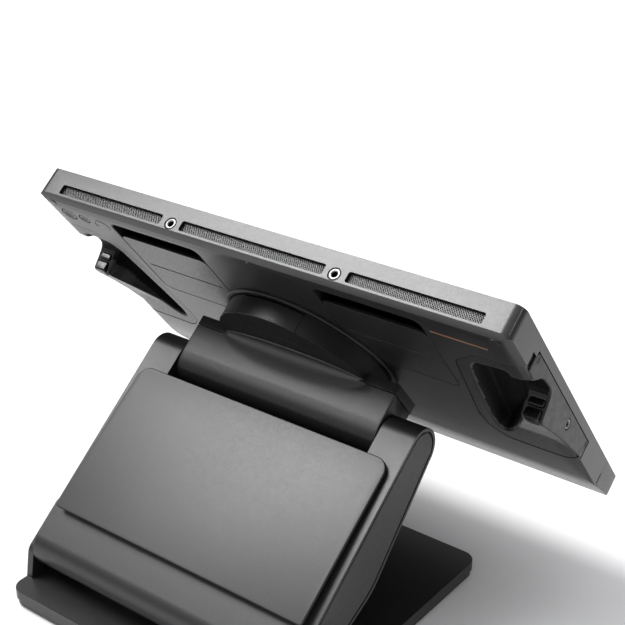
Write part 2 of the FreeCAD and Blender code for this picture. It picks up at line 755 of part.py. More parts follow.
# ---------------------------------------------------------------- hub
def hub_mount():
    """Plate on the display's back, with a hollow spindle, screws, ring and bearing."""
    plate = hub_disc(-33.9, 3.05, 70.0, stem="mount_plate")
    spindle = cylinder(0, dim.hub_v, -43.0, 14.0, 9.3)
    bores = [cylinder(0, dim.hub_v, -44.0, 8.0, 14.0)]
    bores += [cylinder(x, y, -36.0, 2.05, 8.0) for x, y in MOUNT_SPOTS]
    add_piece("hub_mount_plate", cut(fuse([plate, spindle]), bores))
    add_piece("hub_mount_screws", group([
        fuse([cylinder(x, y, -36.0, 4.0, 2.08), cylinder(x, y, -34.0, 2.0, 5.8)])
        for x, y in MOUNT_SPOTS]))
    add_piece("hub_trim_ring", hub_disc(-dim.ring_w, dim.ring_w - dim.back_t - 0.05,
                                        dim.ring_rad, 83.2, "trim_ring"))
    add_piece("hub_retainer", hub_disc(-45.5, 2.4, 18.0, 8.0, "nut"))
    add_piece("hub_bearing", hub_disc(-42.9, 6.2, 18.95, 14.05, "bearing"))


def hub_drum():
    """Cup open to the display, with a bearing boss, neck plate slot and latch gap."""
    gap = 0.2
    slot_half = dim.neck_half + gap
    outer = hub_disc(-dim.hub_face, dim.hub_face - 31.7, dim.hub_rad, stem="drum")
    hollow = hub_disc(-50.2, 20.0, dim.hub_rad - DRUM_WALL, stem="drum_hollow")
    boss = hub_disc(-50.4, 14.0, 25.0, stem="boss")
    boss_bore = hub_disc(-48.0, 20.0, 19.0, stem="boss_bore")
    slot = box((-slot_half, slot_half), (NECK_V0 - gap, NECK_V1 + gap),
               (-dim.plate_w1 - 0.3, -dim.plate_w0 + gap))
    latch_room = box((-32.25, 32.25), (61.1, 110.0), (-54.0, -33.55))
    add_piece("hub_drum", cut(fuse([cut(outer, [hollow]), boss]),
                              [boss_bore, slot, latch_room], "hub_drum"))


def hub_latch():
    """Thumb pad: the outer skirt runs toward the trim ring, the inner walls stop short."""
    inner_rad = dim.hub_rad - DRUM_WALL
    pad = common(hub_disc(-dim.hub_face, dim.hub_face - 35.25, dim.hub_rad, stem="latch_disc"),
                 box((-32.0, 32.0), (61.35, 110.0), (-54.0, -33.0)))
    hollow = common(hub_disc(-50.0, 20.0, inner_rad, stem="latch_hollow"),
                    box((-29.0, 29.0), (64.0, 110.0), (-54.0, -32.0)))
    trim = hub_disc(-40.2, 12.0, inner_rad, stem="latch_floor")
    add_piece("hub_latch", cut(pad, [hollow, trim]))


# ---------------------------------------------------------------- neck and hinges
# Side outlines: v, w.
NECK_BLOCK = [(28.4, 55.1), (28.4, 84.0), (27.2, 90.0), (7.5, 90.0), (-10.5, 84.0),
              (-8.0, 55.1)]
NECK_COVE = [(31.06, 53.06), (44.5, 53.06), (38.6, 54.7), (34.2, 57.4), (31.0, 61.2),
             (29.1, 66.2), (28.4, 73.0), (27.0, 73.0), (27.0, 55.1), (31.06, 55.1)]


def neck():
    plate = slab(-dim.plate_w1, dim.plate_w1 - dim.plate_w0,
                 rect(-dim.neck_half, NECK_V0, dim.neck_half, NECK_V1), 4.0, "neck_plate")
    add_piece("neck_plate", cut(plate, [
        cylinder(x, NECK_SCREW_Y, -60.0, 2.6, 20.0) for x in NECK_SCREW_X]))
    block = profile(-dim.neck_half, dim.neck_half * 2, NECK_BLOCK, "neck_block", [(2.0, [0])])
    barrel = axle(dim.neck_half, dim.tilt_v, -dim.tilt_w, dim.barrel_rad)
    bore = axle(dim.neck_half + 1, dim.tilt_v, -dim.tilt_w, BARREL_BORE)
    cove = profile(-62.0, 124.0, NECK_COVE, "cove")
    add_piece("neck_shell", cut(fuse([block, barrel, cove]), [bore]))
    add_piece("neck_screws", group([
        cylinder(x, NECK_SCREW_Y, -54.9, 2.5, 8.6) for x in NECK_SCREW_X]))


def spring(side, v, w):
    """Coil spring round a hinge shaft."""
    pitch, length, coil_rad, wire_rad = 4.2, 33.6, 10.2, 1.5
    helix = Part.makeHelix(pitch, length, coil_rad)
    section = Part.Wire([Part.makeCircle(wire_rad, Vector(coil_rad, 0, 0), Y_AXIS)])
    coil = Part.Wire(helix.Edges).makePipeShell([section], True, True)
    obj = add("Part::Feature", "coil")
    # The sweep may come back as a shell.
    obj.Shape = coil if coil.ShapeType == "Solid" else Part.Solid(coil)
    place(obj, side * 36.0 - length / 2, float(v), -float(w), TURNS["X"])
    return obj


def hinge(name, v, w, barrel_half, shaft_half):
    """Shaft, end bushes, friction discs and springs on the axis at v, w."""
    bush_len, disc_pitch = 8.0, 3.0
    bore = dim.shaft_rad + 0.06
    add_piece(name + "_shaft", axle(shaft_half, v, -w, dim.shaft_rad))
    add_piece(name + "_bushes", group([
        tube(span(side, barrel_half - bush_len, barrel_half)[0], v, -w, 14.98, bore,
             bush_len, "X") for side in SIDES]))
    add_piece(name + "_friction_discs", group([
        tube(side * 74.0 + (k - 2.5) * disc_pitch, v, -w, 14.0 if k % 2 else 11.5, bore,
             2.2, "X") for side in SIDES for k in range(5)]))
    add_piece(name + "_springs", group([spring(side, v, w) for side in SIDES]))


# ---------------------------------------------------------------- arm
def arm_wedge():
    """Solid arm; the upper end wraps the tilt axis, the lower end the lift axis."""
    front_v = dim.tilt_v - dim.barrel_rad
    start_w = dim.tilt_w - dim.barrel_rad
    end_w = dim.lift_w + dim.barrel_rad
    outline = [(dim.arm_top, start_w), (dim.arm_top, end_w), (front_v, end_w),
               (front_v, 285.0), (-17.5, 266.0), (-30.5, 205.0), (front_v, dim.tilt_w),
               (front_v, start_w)]
    return profile(-dim.arm_half, dim.arm_half * 2, outline, "wedge",
                   [(dim.barrel_rad - 0.02, [0, 1, 2, 7]), (60.0, [5])])


def arm_cap(side, near, far, grow):
    """Arm side outline, smaller than the arm, widened by grow."""
    outline = [(23.1 + grow, 71.6 - grow), (23.1 + grow, 276.0 + grow),
               (-9.0 - grow, 276.0 + grow), (-13.4 - grow, 264.0), (-25.6 - grow, 205.0),
               (-8.1 - grow, 87.2), (-8.1 - grow, 71.6 - grow)]
    return profile(span(side, near, far)[0], far - near, outline, "cap",
                   [(15.5 + grow, [0, 6]), (60.0, [4])])


def arm_shell():
    room_top = dim.arm_top - 3.0
    tools = [
        # notch for the neck, then the bores of the lift barrel and of the tilt shaft
        box((-dim.notch_half, dim.notch_half), (-60.0, 60.0), (-dim.notch_w, -50.0)),
        axle(dim.arm_half + 1, dim.lift_v, -dim.lift_w, BARREL_BORE),
        axle(TILT_SHAFT_HALF + 0.2, dim.tilt_v, -dim.tilt_w, dim.shaft_rad + 0.01),
        # inner room and the window into it from the rear face
        profile(-128.0, 256.0, [(room_top, 116.0), (room_top, 262.0), (-13.0, 262.0),
                                (-26.0, 204.0), (-13.5, 116.0)], "arm_room"),
        box((-122.0, 122.0), (10.0, 40.0), (-250.0, -124.0)),
        # cap recesses
        arm_cap(1, 145.0, 149.0, 1.7),
        arm_cap(-1, 145.0, 149.0, 1.7),
    ]
    arm = arm_wedge()
    for tool in tools:
        arm = cut(arm, [tool], "arm")
    add_piece("arm_shell", arm)
    for side, name in NAMED_SIDES:
        add_piece("arm_cap_" + name, arm_cap(side, 146.05, 147.25, 0.0))


def arm_spine():
    """Flat ladder frame inside the arm: two rails, then three cross bars."""
    bars = [((-110.0, -96.0), (-250.0, -120.0)), ((96.0, 110.0), (-250.0, -120.0))]
    bars += [((-110.0, 110.0), z_range)
             for z_range in ((-190.0, -176.0), (-262.0, -249.0), (-121.0, -116.0))]
    add_piece("arm_spine", fuse([box(x_range, (6.0, 9.0), z_range)
                                 for x_range, z_range in bars]))


def cover_corner_tool(side):
    """Square less a quarter disc: rounds one upper corner of the cable cover."""
    centre_x = COVER_HALF - COVER_CORNER
    corner_z = -COVER_TOP_W - COVER_CORNER
    square = box(span(side, centre_x, COVER_HALF), (20.0, 45.0), (corner_z, -111.0))
    return cut(square, [cylinder(side * centre_x, 19.0, corner_z, COVER_CORNER, 27.0, "Y")])


def arm_cable_cover():
    cover = profile(-COVER_HALF, COVER_HALF * 2,
                    [(29.4, COVER_TOP_W), (32.6, COVER_TOP_W), (37.0, 263.0), (34.0, 263.0)],
                    "cable_cover")
    plate = cut(cover, [cover_corner_tool(side) for side in SIDES])
    rails = [profile(x, 3.0, [(25.0, 128.0), (30.5, 128.0), (34.0, 246.0), (25.0, 246.0)],
                     "rail") for x in (-119.0, -1.5, 116.0)]
    add_piece("arm_cable_cover", fuse([plate] + rails))


# ---------------------------------------------------------------- base
def row_point(v, w):
    """Row (Y, Z) of a point given in the slanted frame."""
    point = SLANT.multVec(Vector(0, float(v), -float(w)))
    return point.y, point.z


def base_rect(inset):
    return rect(-dim.base_half + inset, -dim.base_front + inset,
                dim.base_half - inset, dim.base_back - inset)


def base_plate():
    foot_rad, foot_height = 9.0, dim.foot_t - 0.02
    add_piece("base_plate", slab(dim.foot_t, BASE_PLATE_T, base_rect(1.5), BASE_CORNER - 1.5,
                                 "base_plate"), slanted=False)
    spots = [(x, y) for x in (-132.0, 132.0) for y in (-128.0, 0.0, 124.0)] + [(0, 0)]
    add_piece("base_feet", group([cylinder(x, y, 0, foot_rad, foot_height)
                                  for x, y in spots]), slanted=False)


def base_housing(lift_y, lift_z):
    """Shell over the plate; two cheeks hold the arm's lower barrel between them."""
    cheek_t = 6.8
    shell_z = dim.foot_t + BASE_PLATE_T + 0.02
    shell_height = dim.base_t - dim.foot_t - BASE_PLATE_T
    shell = slab(shell_z, shell_height, base_rect(0.0), BASE_CORNER, "base_shell")
    room = slab(dim.foot_t + 5.0, shell_height - 1.6, base_rect(3), BASE_CORNER - 3,
                "base_room")
    # The cheek's top edge runs along the arm's side.
    outline = [row_point(20.0, 254.0), row_point(20.0, 305.5), (lift_y + 25.0, 12.0),
               (lift_y - 62.0, 12.0), row_point(-22.0, 254.0)]
    cheeks = [prism("YZ", span(side, dim.base_half - cheek_t, dim.base_half)[0], cheek_t,
                    outline, [(3.0, [0]), (14.0, [1])], stem="cheek") for side in (1, -1)]
    below = box((-200.0, 200.0), (-200.0, 200.0), (-5.0, shell_z))
    # pockets in the cheeks' inner faces for the lift brackets
    near, far = BRACKET_X0 - 0.4, BRACKET_X1 + 0.1
    half = BRACKET_RAD + BRACKET_GAP
    eyes = [side_cylinder(side, near, far, lift_y, lift_z, half) for side in SIDES]
    legs = [box(span(side, near, far), (lift_y - half, lift_y + half), (6.0, lift_z))
            for side in SIDES]
    add_piece("base_housing", cut(fuse([shell] + cheeks), [room, below] + eyes + legs,
                                  "base_shell"), slanted=False)


def lift_brackets(lift_y, lift_z):
    """Upright plates on the base plate that carry the ends of the lift shaft."""
    brackets = []
    for side in SIDES:
        eye = side_cylinder(side, BRACKET_X0, BRACKET_X1, lift_y, lift_z, BRACKET_RAD)
        leg = box(span(side, BRACKET_X0, BRACKET_X1),
                  (lift_y - BRACKET_RAD, lift_y + BRACKET_RAD), (8.02, lift_z))
        bore = side_cylinder(side, BRACKET_X0 - 1, BRACKET_X1 + 1, lift_y, lift_z,
                             dim.shaft_rad + 0.01)
        brackets.append(cut(fuse([eye, leg]), [bore]))
    add_piece("lift_brackets", group(brackets), slanted=False)


def base():
    lift_y, lift_z = row_point(dim.lift_v, dim.lift_w)
    base_plate()
    base_housing(lift_y, lift_z)
    lift_brackets(lift_y, lift_z)
    add_piece("base_screws", group([
        cylinder(x, y, 0.6, 3.4, 1.38) for x in (-100.0, 100.0) for y in (-110.0, 110.0)
    ]), slanted=False)


# ---------------------------------------------------------------- check and export
def check():
    faults = []
    for obj in doc.Objects:
        if "Invalid" in obj.State or "Error" in obj.State:
            faults.append("%s %s" % (obj.Name, obj.State))
    if len({label for label, obj in pieces}) != len(pieces):
        faults.append("a piece name is used twice")
    for label, obj in pieces:
        shape = obj.Shape
        if shape.isNull() or not shape.isValid() or not shape.Solids or shape.Volume < 1:
            faults.append("shape of " + label)
    if faults:
        raise RuntimeError("; ".join(faults))


def export():
    os.makedirs("parts", exist_ok=True)
    for name in os.listdir("parts"):
        if name.endswith(".step"):
            os.remove(os.path.join("parts", name))
    for label, obj in pieces:
        obj.Shape.exportStep("parts/%s.step" % label)


display_case()
screen_stack()
main_board()
heat_sink()
fans()
vent_grilles()
accessory_bushes()
back_trim()
buttons()
ports()
grips()
hub_mount()
hub_drum()
hub_latch()
neck()
hinge("tilt", dim.tilt_v, dim.tilt_w, dim.neck_half, TILT_SHAFT_HALF)
hinge("lift", dim.lift_v, dim.lift_w, dim.arm_half, LIFT_SHAFT_HALF)
arm_shell()
arm_spine()
arm_cable_cover()
base()
doc.recompute()
check()
export()
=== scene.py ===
"""A pen display on a hinged stand, seen from behind and above.

The scene is in metres, +Z up, with the stand on the floor at z = 0. The glass faces -Y and
up, and right is +X. Most new pieces are drawn in a slanted frame, in millimetres: x across,
`up` along the screen and `depth` behind the glass.
"""
import json
import math

import bmesh
import bpy
import numpy as np
from mathutils import Matrix, Vector


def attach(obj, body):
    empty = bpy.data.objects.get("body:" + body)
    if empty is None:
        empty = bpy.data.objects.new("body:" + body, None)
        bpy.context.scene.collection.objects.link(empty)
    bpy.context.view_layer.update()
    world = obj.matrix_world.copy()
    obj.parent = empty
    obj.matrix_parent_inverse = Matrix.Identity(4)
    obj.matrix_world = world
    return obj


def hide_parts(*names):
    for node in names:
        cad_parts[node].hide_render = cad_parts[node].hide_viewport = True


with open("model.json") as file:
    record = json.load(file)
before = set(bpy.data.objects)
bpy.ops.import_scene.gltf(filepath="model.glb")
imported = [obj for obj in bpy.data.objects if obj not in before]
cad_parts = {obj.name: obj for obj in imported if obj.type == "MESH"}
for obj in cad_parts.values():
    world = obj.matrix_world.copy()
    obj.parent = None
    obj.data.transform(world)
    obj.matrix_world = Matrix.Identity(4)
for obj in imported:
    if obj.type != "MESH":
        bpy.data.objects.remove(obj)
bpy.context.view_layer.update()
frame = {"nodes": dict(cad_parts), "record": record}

NODES = frame["nodes"]
RECORD = frame["record"]
BODY = {node: body for body, nodes in RECORD["behaviour"]["bodies"].items() for node in nodes}

# Slanted frame: the screen's angle from the floor and the frame's origin in scene millimetres
TILT = math.radians(51.0)
COS_TILT, SIN_TILT = math.cos(TILT), math.sin(TILT)
ORIGIN_Y, ORIGIN_Z = -130.0, 222.0


def to_scene(points):
    """Slanted-frame millimetres, one (x, up, depth) per row, to scene metres."""
    x, up, depth = np.asarray(points, float).T
    y = ORIGIN_Y + up * COS_TILT + depth * SIN_TILT
    z = ORIGIN_Z + up * SIN_TILT - depth * COS_TILT
    return np.c_[x, y, z] / 1000.0


def link(ob):
    bpy.context.scene.collection.objects.link(ob)
    return ob


# ---------------------------------------------------------------- shader helpers
def feed(tree, node, inputs):
    """Links sockets, and sets plain values, on a node's inputs."""
    for key, value in inputs.items():
        if isinstance(value, bpy.types.NodeSocket):
            tree.links.new(value, node.inputs[key])
        else:
            node.inputs[key].default_value = value


def add_node(tree, kind, inputs, **settings):
    node = tree.nodes.new("ShaderNode" + kind)
    for key, value in settings.items():
        setattr(node, key, value)
    feed(tree, node, inputs)
    return node


def surface(material):
    """An empty tree with one principled shader; returns both."""
    material.use_nodes = True
    tree = material.node_tree
    tree.nodes.clear()
    output = add_node(tree, "OutputMaterial", {})
    shader = add_node(tree, "BsdfPrincipled", {})
    tree.links.new(shader.outputs[0], output.inputs[0])
    return tree, shader


def noise(tree, vector, scale, detail, rough):
    inputs = {"Scale": scale, "Detail": detail, "Roughness": rough, "Vector": vector}
    return add_node(tree, "TexNoise", inputs).outputs["Fac"]


def ramp(tree, factor, low, high):
    """A ramp between two stops, each (position, rgb)."""
    node = add_node(tree, "ValToRGB", {0: factor})
    for element, (position, colour) in zip(node.color_ramp.elements, (low, high)):
        element.position = position
        element.color = (*colour, 1)
    return node.outputs["Color"]


def mix_colour(tree, factor, first, second, blend):
    inputs = {0: factor, 6: first, 7: second}
    node = add_node(tree, "Mix", inputs, data_type="RGBA", blend_type=blend)
    return node.outputs[2]


def grey(value):
    return (value,) * 3


# ---------------------------------------------------------------- materials
WEAR_RADIUS = 0.0009    # metres; reach of the paler worn edges
SOFT_RADIUS = 0.0006    # metres; shading-only rounding of every edge


def worn_edges(tree, colour, tone, amount, patches):
    """Pales the colour where the rounded normal leaves the true one."""
    bevel = add_node(tree, "Bevel", {"Radius": WEAR_RADIUS}, samples=4)
    geometry = add_node(tree, "NewGeometry", {})
    normals = {0: bevel.outputs[0], 1: geometry.outputs["Normal"]}
    dot = add_node(tree, "VectorMath", normals, operation="DOT_PRODUCT")
    mask = ramp(tree, dot.outputs["Value"], (0.80, grey(amount)), (0.985, grey(0)))
    patchy = add_node(tree, "Math", {0: patches, 1: 0.25}, operation="ADD")
    wear = add_node(tree, "Math", {0: mask, 1: patchy.outputs[0]}, operation="MULTIPLY")
    pale = (*[min(1, c * 2.4 + 0.06) for c in tone], 1)
    return mix_colour(tree, wear.outputs[0], colour, pale, "MIX")


def finish_material(name, tone, rough, metal, grain, speck, bump,
                    edge=0.0, mottle=0.06, rough_var=0.06, spec=0.5, coat=0.0):
    """Fine-grained finish: speckled, slowly mottled tone, uneven roughness, grain relief."""
    material = bpy.data.materials.new(name)
    tree, shader = surface(material)
    place = add_node(tree, "TexCoord", {}).outputs["Object"]
    fine = noise(tree, place, scale=1000.0 / grain, detail=2.0, rough=0.6)
    medium = noise(tree, place, scale=1000.0 / (grain * 7), detail=3.0, rough=0.5)
    slow = noise(tree, place, scale=9.0, detail=2.0, rough=0.5)

    tone = tone if isinstance(tone, tuple) else grey(tone)
    dark = [c * (1 - speck) for c in tone]
    light = [c * (1 + speck) for c in tone]
    speckle = ramp(tree, fine, (0.32, dark), (0.68, light))
    mottling = ramp(tree, slow, (0.3, grey(1 - mottle)), (0.7, grey(1 + mottle)))
    colour = mix_colour(tree, 1.0, speckle, mottling, "MULTIPLY")
    if edge > 0:
        colour = worn_edges(tree, colour, tone, edge, medium)
    roughness = ramp(tree, medium, (0.3, grey(rough - rough_var)), (0.7, grey(rough + rough_var)))
    feed(tree, shader, {"Base Color": colour, "Roughness": roughness, "Metallic": metal,
                        "Specular IOR Level": spec})
    if coat:
        feed(tree, shader, {"Coat Weight": coat, "Coat Roughness": 0.25})
    soft = add_node(tree, "Bevel", {"Radius": SOFT_RADIUS}, samples=3)
    relief = add_node(tree, "Bump", {"Normal": soft.outputs[0], "Strength": bump,
                                     "Distance": grain * 0.0006, "Height": fine})
    feed(tree, shader, {"Normal": relief.outputs[0]})
    return material


# Columns: tone (grey or rgb), roughness, metal, grain in mm, speckle, bump strength; then
# edge wear, mottling, roughness variation, specular level and coat where not the default
FINISHES = {
    "housing_satin": (0.080, 0.33, 0.75, 0.30, 0.16, 0.22,
                      dict(edge=0.35, rough_var=0.025, mottle=0.03)),
    "lower_satin": (0.078, 0.34, 0.75, 0.30, 0.16, 0.22, dict(edge=0.35)),
    "port_cover_satin": (0.076, 0.34, 0.75, 0.30, 0.16, 0.22, dict(edge=0.3)),
    "stand_satin": (0.080, 0.37, 0.7, 0.45, 0.18, 0.25,
                    dict(edge=0.3, rough_var=0.018, mottle=0.03)),
    # The stand finish, toned darker on the cover as painted shade
    "cable_cover_painted_shade_satin": (0.068, 0.38, 0.7, 0.45, 0.16, 0.25,
                          dict(edge=0.35, rough_var=0.018, mottle=0.03)),
    "hub_satin_and_painted_shade": (0.045, 0.36, 0.7, 0.30, 0.15, 0.15, dict(edge=0.3)),
    "cap_satin": (0.075, 0.48, 0.4, 0.4, 0.15, 0.2, dict(edge=0.3)),
    "grip_satin": (0.066, 0.34, 0.75, 0.32, 0.18, 0.25, dict(edge=0.35)),
    "bush_turned": (0.24, 0.34, 0.9, 0.3, 0.1, 0.12, dict(edge=0.3)),
    # Near black: painted shade inside the grip pockets, over a real speckled grain
    "pocket_grained_painted_shade": (0.006, 0.55, 0.0, 0.5, 0.5, 0.35, dict(spec=0.18)),
    "side_skin_grained": (0.036, 0.40, 0.4, 0.9, 0.35, 0.6, dict(edge=0.2)),
    "key_satin": (0.008, 0.24, 0.0, 0.3, 0.2, 0.12, dict(edge=0.2)),
    "rubber_matte": (0.018, 0.8, 0.0, 0.5, 0.25, 0.5, dict(spec=0.3)),
    # Real black parts; also used as painted shade in vents, bores, grooves and sockets
    "black_moulded_and_painted_shade": (0.014, 0.5, 0.0, 0.4, 0.25, 0.3, {}),
    "grille_woven": (0.20, 0.42, 0.7, 0.3, 0.2, 0.2, {}),
    "steel_turned": (0.42, 0.28, 1.0, 0.5, 0.08, 0.1, {}),
    "zinc_plated": (0.30, 0.34, 1.0, 0.4, 0.1, 0.12, {}),
    "aluminium_milled": (0.62, 0.32, 1.0, 0.6, 0.06, 0.1, {}),
    "bronze_sintered": ((0.42, 0.27, 0.12), 0.38, 1.0, 0.4, 0.2, 0.25, {}),
    "copper_inlay": ((0.62, 0.36, 0.22), 0.34, 0.9, 0.25, 0.08, 0.1, {}),
    "board_mask": ((0.012, 0.055, 0.028), 0.35, 0.0, 1.2, 0.35, 0.3, dict(coat=0.4)),
    "panel_back": (0.28, 0.45, 0.3, 0.6, 0.08, 0.1, {}),
    "etched_glass": (0.006, 0.22, 0.0, 0.25, 0.3, 0.05, dict(coat=0.6, rough_var=0.03)),
}
MATERIALS = {name: finish_material(name, *row[:-1], **row[-1]) for name, row in FINISHES.items()}

# The CAD nodes that wear each finish
FINISH_NODES = {
    "housing_satin": "rear_housing hub_trim_ring",
    "lower_satin": "bottom_cover",
    "port_cover_satin": "screw_plugs power_button touch_button port_cover_right port_cover_left",
    "stand_satin": "neck_shell arm_shell base_plate base_housing",
    "cable_cover_painted_shade_satin": "arm_cable_cover",
    # The neck plate wears this darker hub finish as painted shade
    "hub_satin_and_painted_shade": "hub_drum hub_latch neck_plate",
    "cap_satin": "arm_cap_right arm_cap_left",
    "grip_satin": "grip_right grip_left",
    "key_satin": "express_key_right_upper express_key_right_lower "
                 "express_key_left_upper express_key_left_lower",
    "rubber_matte": "display_feet base_feet",
    "black_moulded_and_painted_shade": "middle_frame fan_cases fan_rotor_right fan_rotor_left port_bays side_screws",
    "grille_woven": "vent_grilles",
    "steel_turned": "hub_mount_plate hub_retainer tilt_shaft tilt_friction_discs tilt_springs "
                    "lift_shaft lift_friction_discs lift_springs lift_brackets",
    "zinc_plated": "board_fasteners accessory_bushes port_sockets hub_mount_screws "
                   "neck_screws arm_spine base_screws",
    "aluminium_milled": "chassis_plate heat_sink",
    "bronze_sintered": "hub_bearing tilt_bushes lift_bushes",
    "copper_inlay": "accent_inlay",
    "board_mask": "pen_sensor_board main_board switch_board",
    "panel_back": "lcd_panel",
    "etched_glass": "front_glass",
}
NODE_FINISH = {node: name for name, nodes in FINISH_NODES.items() for node in nodes.split()}

for node, ob in NODES.items():
    ob.data.materials.clear()
    ob.data.materials.append(MATERIALS[NODE_FINISH[node]])


# ---------------------------------------------------------------- CAD pieces with rounded edges
def clean_copy(node, name):
    """The CAD shape as a new, smooth-shaded mesh with its coincident points joined."""
    mesh = NODES[node].data.copy()
    mesh.name = name
    if mesh.has_custom_normals:
        normals = mesh.attributes.get("custom_normal")
        if normals:
            mesh.attributes.remove(normals)
    bm = bmesh.new()
    bm.from_mesh(mesh)
    bmesh.ops.remove_doubles(bm, verts=bm.verts, dist=4e-6)
    bmesh.ops.dissolve_degenerate(bm, edges=bm.edges, dist=2e-6)
    for face in bm.faces:
        face.smooth = True
    bm.to_mesh(mesh)
    bm.free()
    return link(bpy.data.objects.new(name, mesh))


def round_edges(ob, width, sharp_angle=28.0, shortest=2e-5):
    """Bevels only edges sharper than the angle (degrees) and longer than `shortest` metres."""
    bm = bmesh.new()
    bm.from_mesh(ob.data)
    layers = bm.edges.layers.float
    weight = layers.get("bevel_weight_edge") or layers.new("bevel_weight_edge")
    limit = math.radians(sharp_angle)
    for edge in bm.edges:
        real = len(edge.link_faces) == 2 and edge.calc_length() > shortest
        edge[weight] = 1.0 if real and edge.calc_face_angle(0.0) > limit else 0.0
    bm.to_mesh(ob.data)
    bm.free()
    bevel = ob.modifiers.new("edges", "BEVEL")
    bevel.width = width / 1000.0
    bevel.segments = 2
    bevel.limit_method = "WEIGHT"
    bevel.use_clamp_overlap = True
    bevel.loop_slide = False
    bevel.harden_normals = True


def rounded(node, width):
    ob = clean_copy(node, node + "_finished")
    ob.data.materials.clear()
    ob.data.materials.append(MATERIALS[NODE_FINISH[node]])
    round_edges(ob, width)
    ob.data.set_sharp_from_angle(angle=math.radians(45))
    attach(ob, BODY[node])
    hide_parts(node)


# Edge rounding in mm
ROUNDING = {
    "rear_housing": 0.45, "bottom_cover": 0.45, "port_cover_right": 0.35, "port_cover_left": 0.35,
    "hub_drum": 0.8, "hub_latch": 0.5, "hub_trim_ring": 0.6, "neck_plate": 0.8, "arm_shell": 0.9,
    "arm_cap_right": 0.3, "arm_cap_left": 0.3, "base_housing": 1.0, "base_plate": 0.6,
    "screw_plugs": 0.25, "display_feet": 0.5, "base_feet": 0.4, "front_glass": 0.35,
}
for node, width in ROUNDING.items():
    rounded(node, width)


# ---------------------------------------------------------------- mesh tools, slanted frame
def piece(name, points, faces, finishes, body, smooth=45.0, face_finish=()):
    """A closed piece on a body. face_finish picks a finish per face; faces past its end get 0."""
    mesh = bpy.data.meshes.new(name)
    mesh.from_pydata([tuple(map(float, p)) for p in to_scene(points)], [], faces)
    for finish in finishes:
        mesh.materials.append(MATERIALS[finish])
    for polygon, index in zip(mesh.polygons, face_finish):
        polygon.material_index = int(index)
    bm = bmesh.new()
    bm.from_mesh(mesh)
    bmesh.ops.recalc_face_normals(bm, faces=bm.faces)
    for face in bm.faces:
        face.smooth = len(face.verts) <= 4
    bm.to_mesh(mesh)
    bm.free()
    mesh.set_sharp_from_angle(angle=math.radians(smooth))
    ob = link(bpy.data.objects.new(name, mesh))
    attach(ob, body)
    return ob


def stand_in(node, name, points, faces, finishes, body, smooth, face_finish=()):
    """A piece that takes the place of a CAD node."""
    ob = piece(name, points, faces, finishes, body, smooth, face_finish)
    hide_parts(node)


def cut(target, name, points, faces):
    """Cuts a closed shape out of a piece."""
    tool = piece(name, points, faces, ["black_moulded_and_painted_shade"], "display")
    modifier = target.modifiers.new("opening", "BOOLEAN")
    modifier.operation = "DIFFERENCE"
    modifier.solver = "EXACT"
    modifier.object = tool
    depsgraph = bpy.context.evaluated_depsgraph_get()
    mesh = bpy.data.meshes.new_from_object(target.evaluated_get(depsgraph))
    target.modifiers.remove(modifier)
    # Guards against a failed cut, which would leave few faces; the piece then stays whole
    if len(mesh.polygons) > 1000:
        target.data = mesh
    bpy.data.objects.remove(tool, do_unlink=True)


def fillet(corners, radii, steps):
    """A polygon with its corners rounded by the given radii."""
    outline = []
    count = len(corners)
    for i, radius in enumerate(radii):
        corner = np.array(corners[i], float)
        if radius <= 0:
            outline.append(corner)
            continue
        back = np.array(corners[i - 1], float) - corner
        ahead = np.array(corners[(i + 1) % count], float) - corner
        back_length, ahead_length = np.linalg.norm(back), np.linalg.norm(ahead)
        back, ahead = back / back_length, ahead / ahead_length
        angle = math.acos(max(-1.0, min(1.0, float(back @ ahead))))
        if angle > math.pi - 0.02:
            outline.append(corner)
            continue
        trim = min(radius / math.tan(angle / 2), 0.49 * back_length, 0.49 * ahead_length)
        fitted = trim * math.tan(angle / 2)
        bisector = (back + ahead) / np.linalg.norm(back + ahead)
        centre = corner + bisector * (fitted / math.sin(angle / 2))
        first, last = corner + back * trim - centre, corner + ahead * trim - centre
        start = math.atan2(first[1], first[0])
        turn = (math.atan2(last[1], last[0]) - start + math.pi) % (2 * math.pi) - math.pi
        for j in range(steps + 1):
            t = start + turn * j / steps
            outline.append(centre + fitted * np.array([math.cos(t), math.sin(t)]))
    return np.array(outline)


def rounded_rect(a0, a1, b0, b1, radii, steps):
    corners = [(a0, b0), (a1, b0), (a1, b1), (a0, b1)]
    return fillet(corners, np.broadcast_to(radii, 4), steps)


def circle(radius, count):
    angles = [2 * math.pi * i / count for i in range(count)]
    return [(radius * math.cos(t), radius * math.sin(t)) for t in angles]


def inset(outline, distance):
    """A polygon moved inwards along its corner directions."""
    x, y = outline[:, 0], outline[:, 1]
    area = 0.5 * np.sum(x * np.roll(y, -1) - np.roll(x, -1) * y)
    edges = np.roll(outline, -1, 0) - outline
    edges /= np.maximum(np.linalg.norm(edges, axis=1, keepdims=True), 1e-9)
    normals = np.c_[-edges[:, 1], edges[:, 0]] * (1.0 if area > 0 else -1.0)
    both = normals + np.roll(normals, 1, 0)
    length2 = np.sum(both * both, 1, keepdims=True)
    return outline + both * (2.0 * distance / np.maximum(length2, 0.6))


def bands(rings, size, closed=False):
    """Quads between successive rings of points; closed joins the last ring to the first."""
    faces = []
    for k in range(rings if closed else rings - 1):
        a, b = k * size, (k + 1) % rings * size
        for i in range(size):
            j = (i + 1) % size
            faces.append((a + i, a + j, b + j, b + i))
    return faces


def loft(rings, size, reversed_cap):
    """Bands plus an end face on the first (0) and last (1) ring, one of them listed backwards."""
    caps = [tuple(range(size)), tuple(range((rings - 1) * size, rings * size))]
    caps[reversed_cap] = caps[reversed_cap][::-1]
    return bands(rings, size) + caps


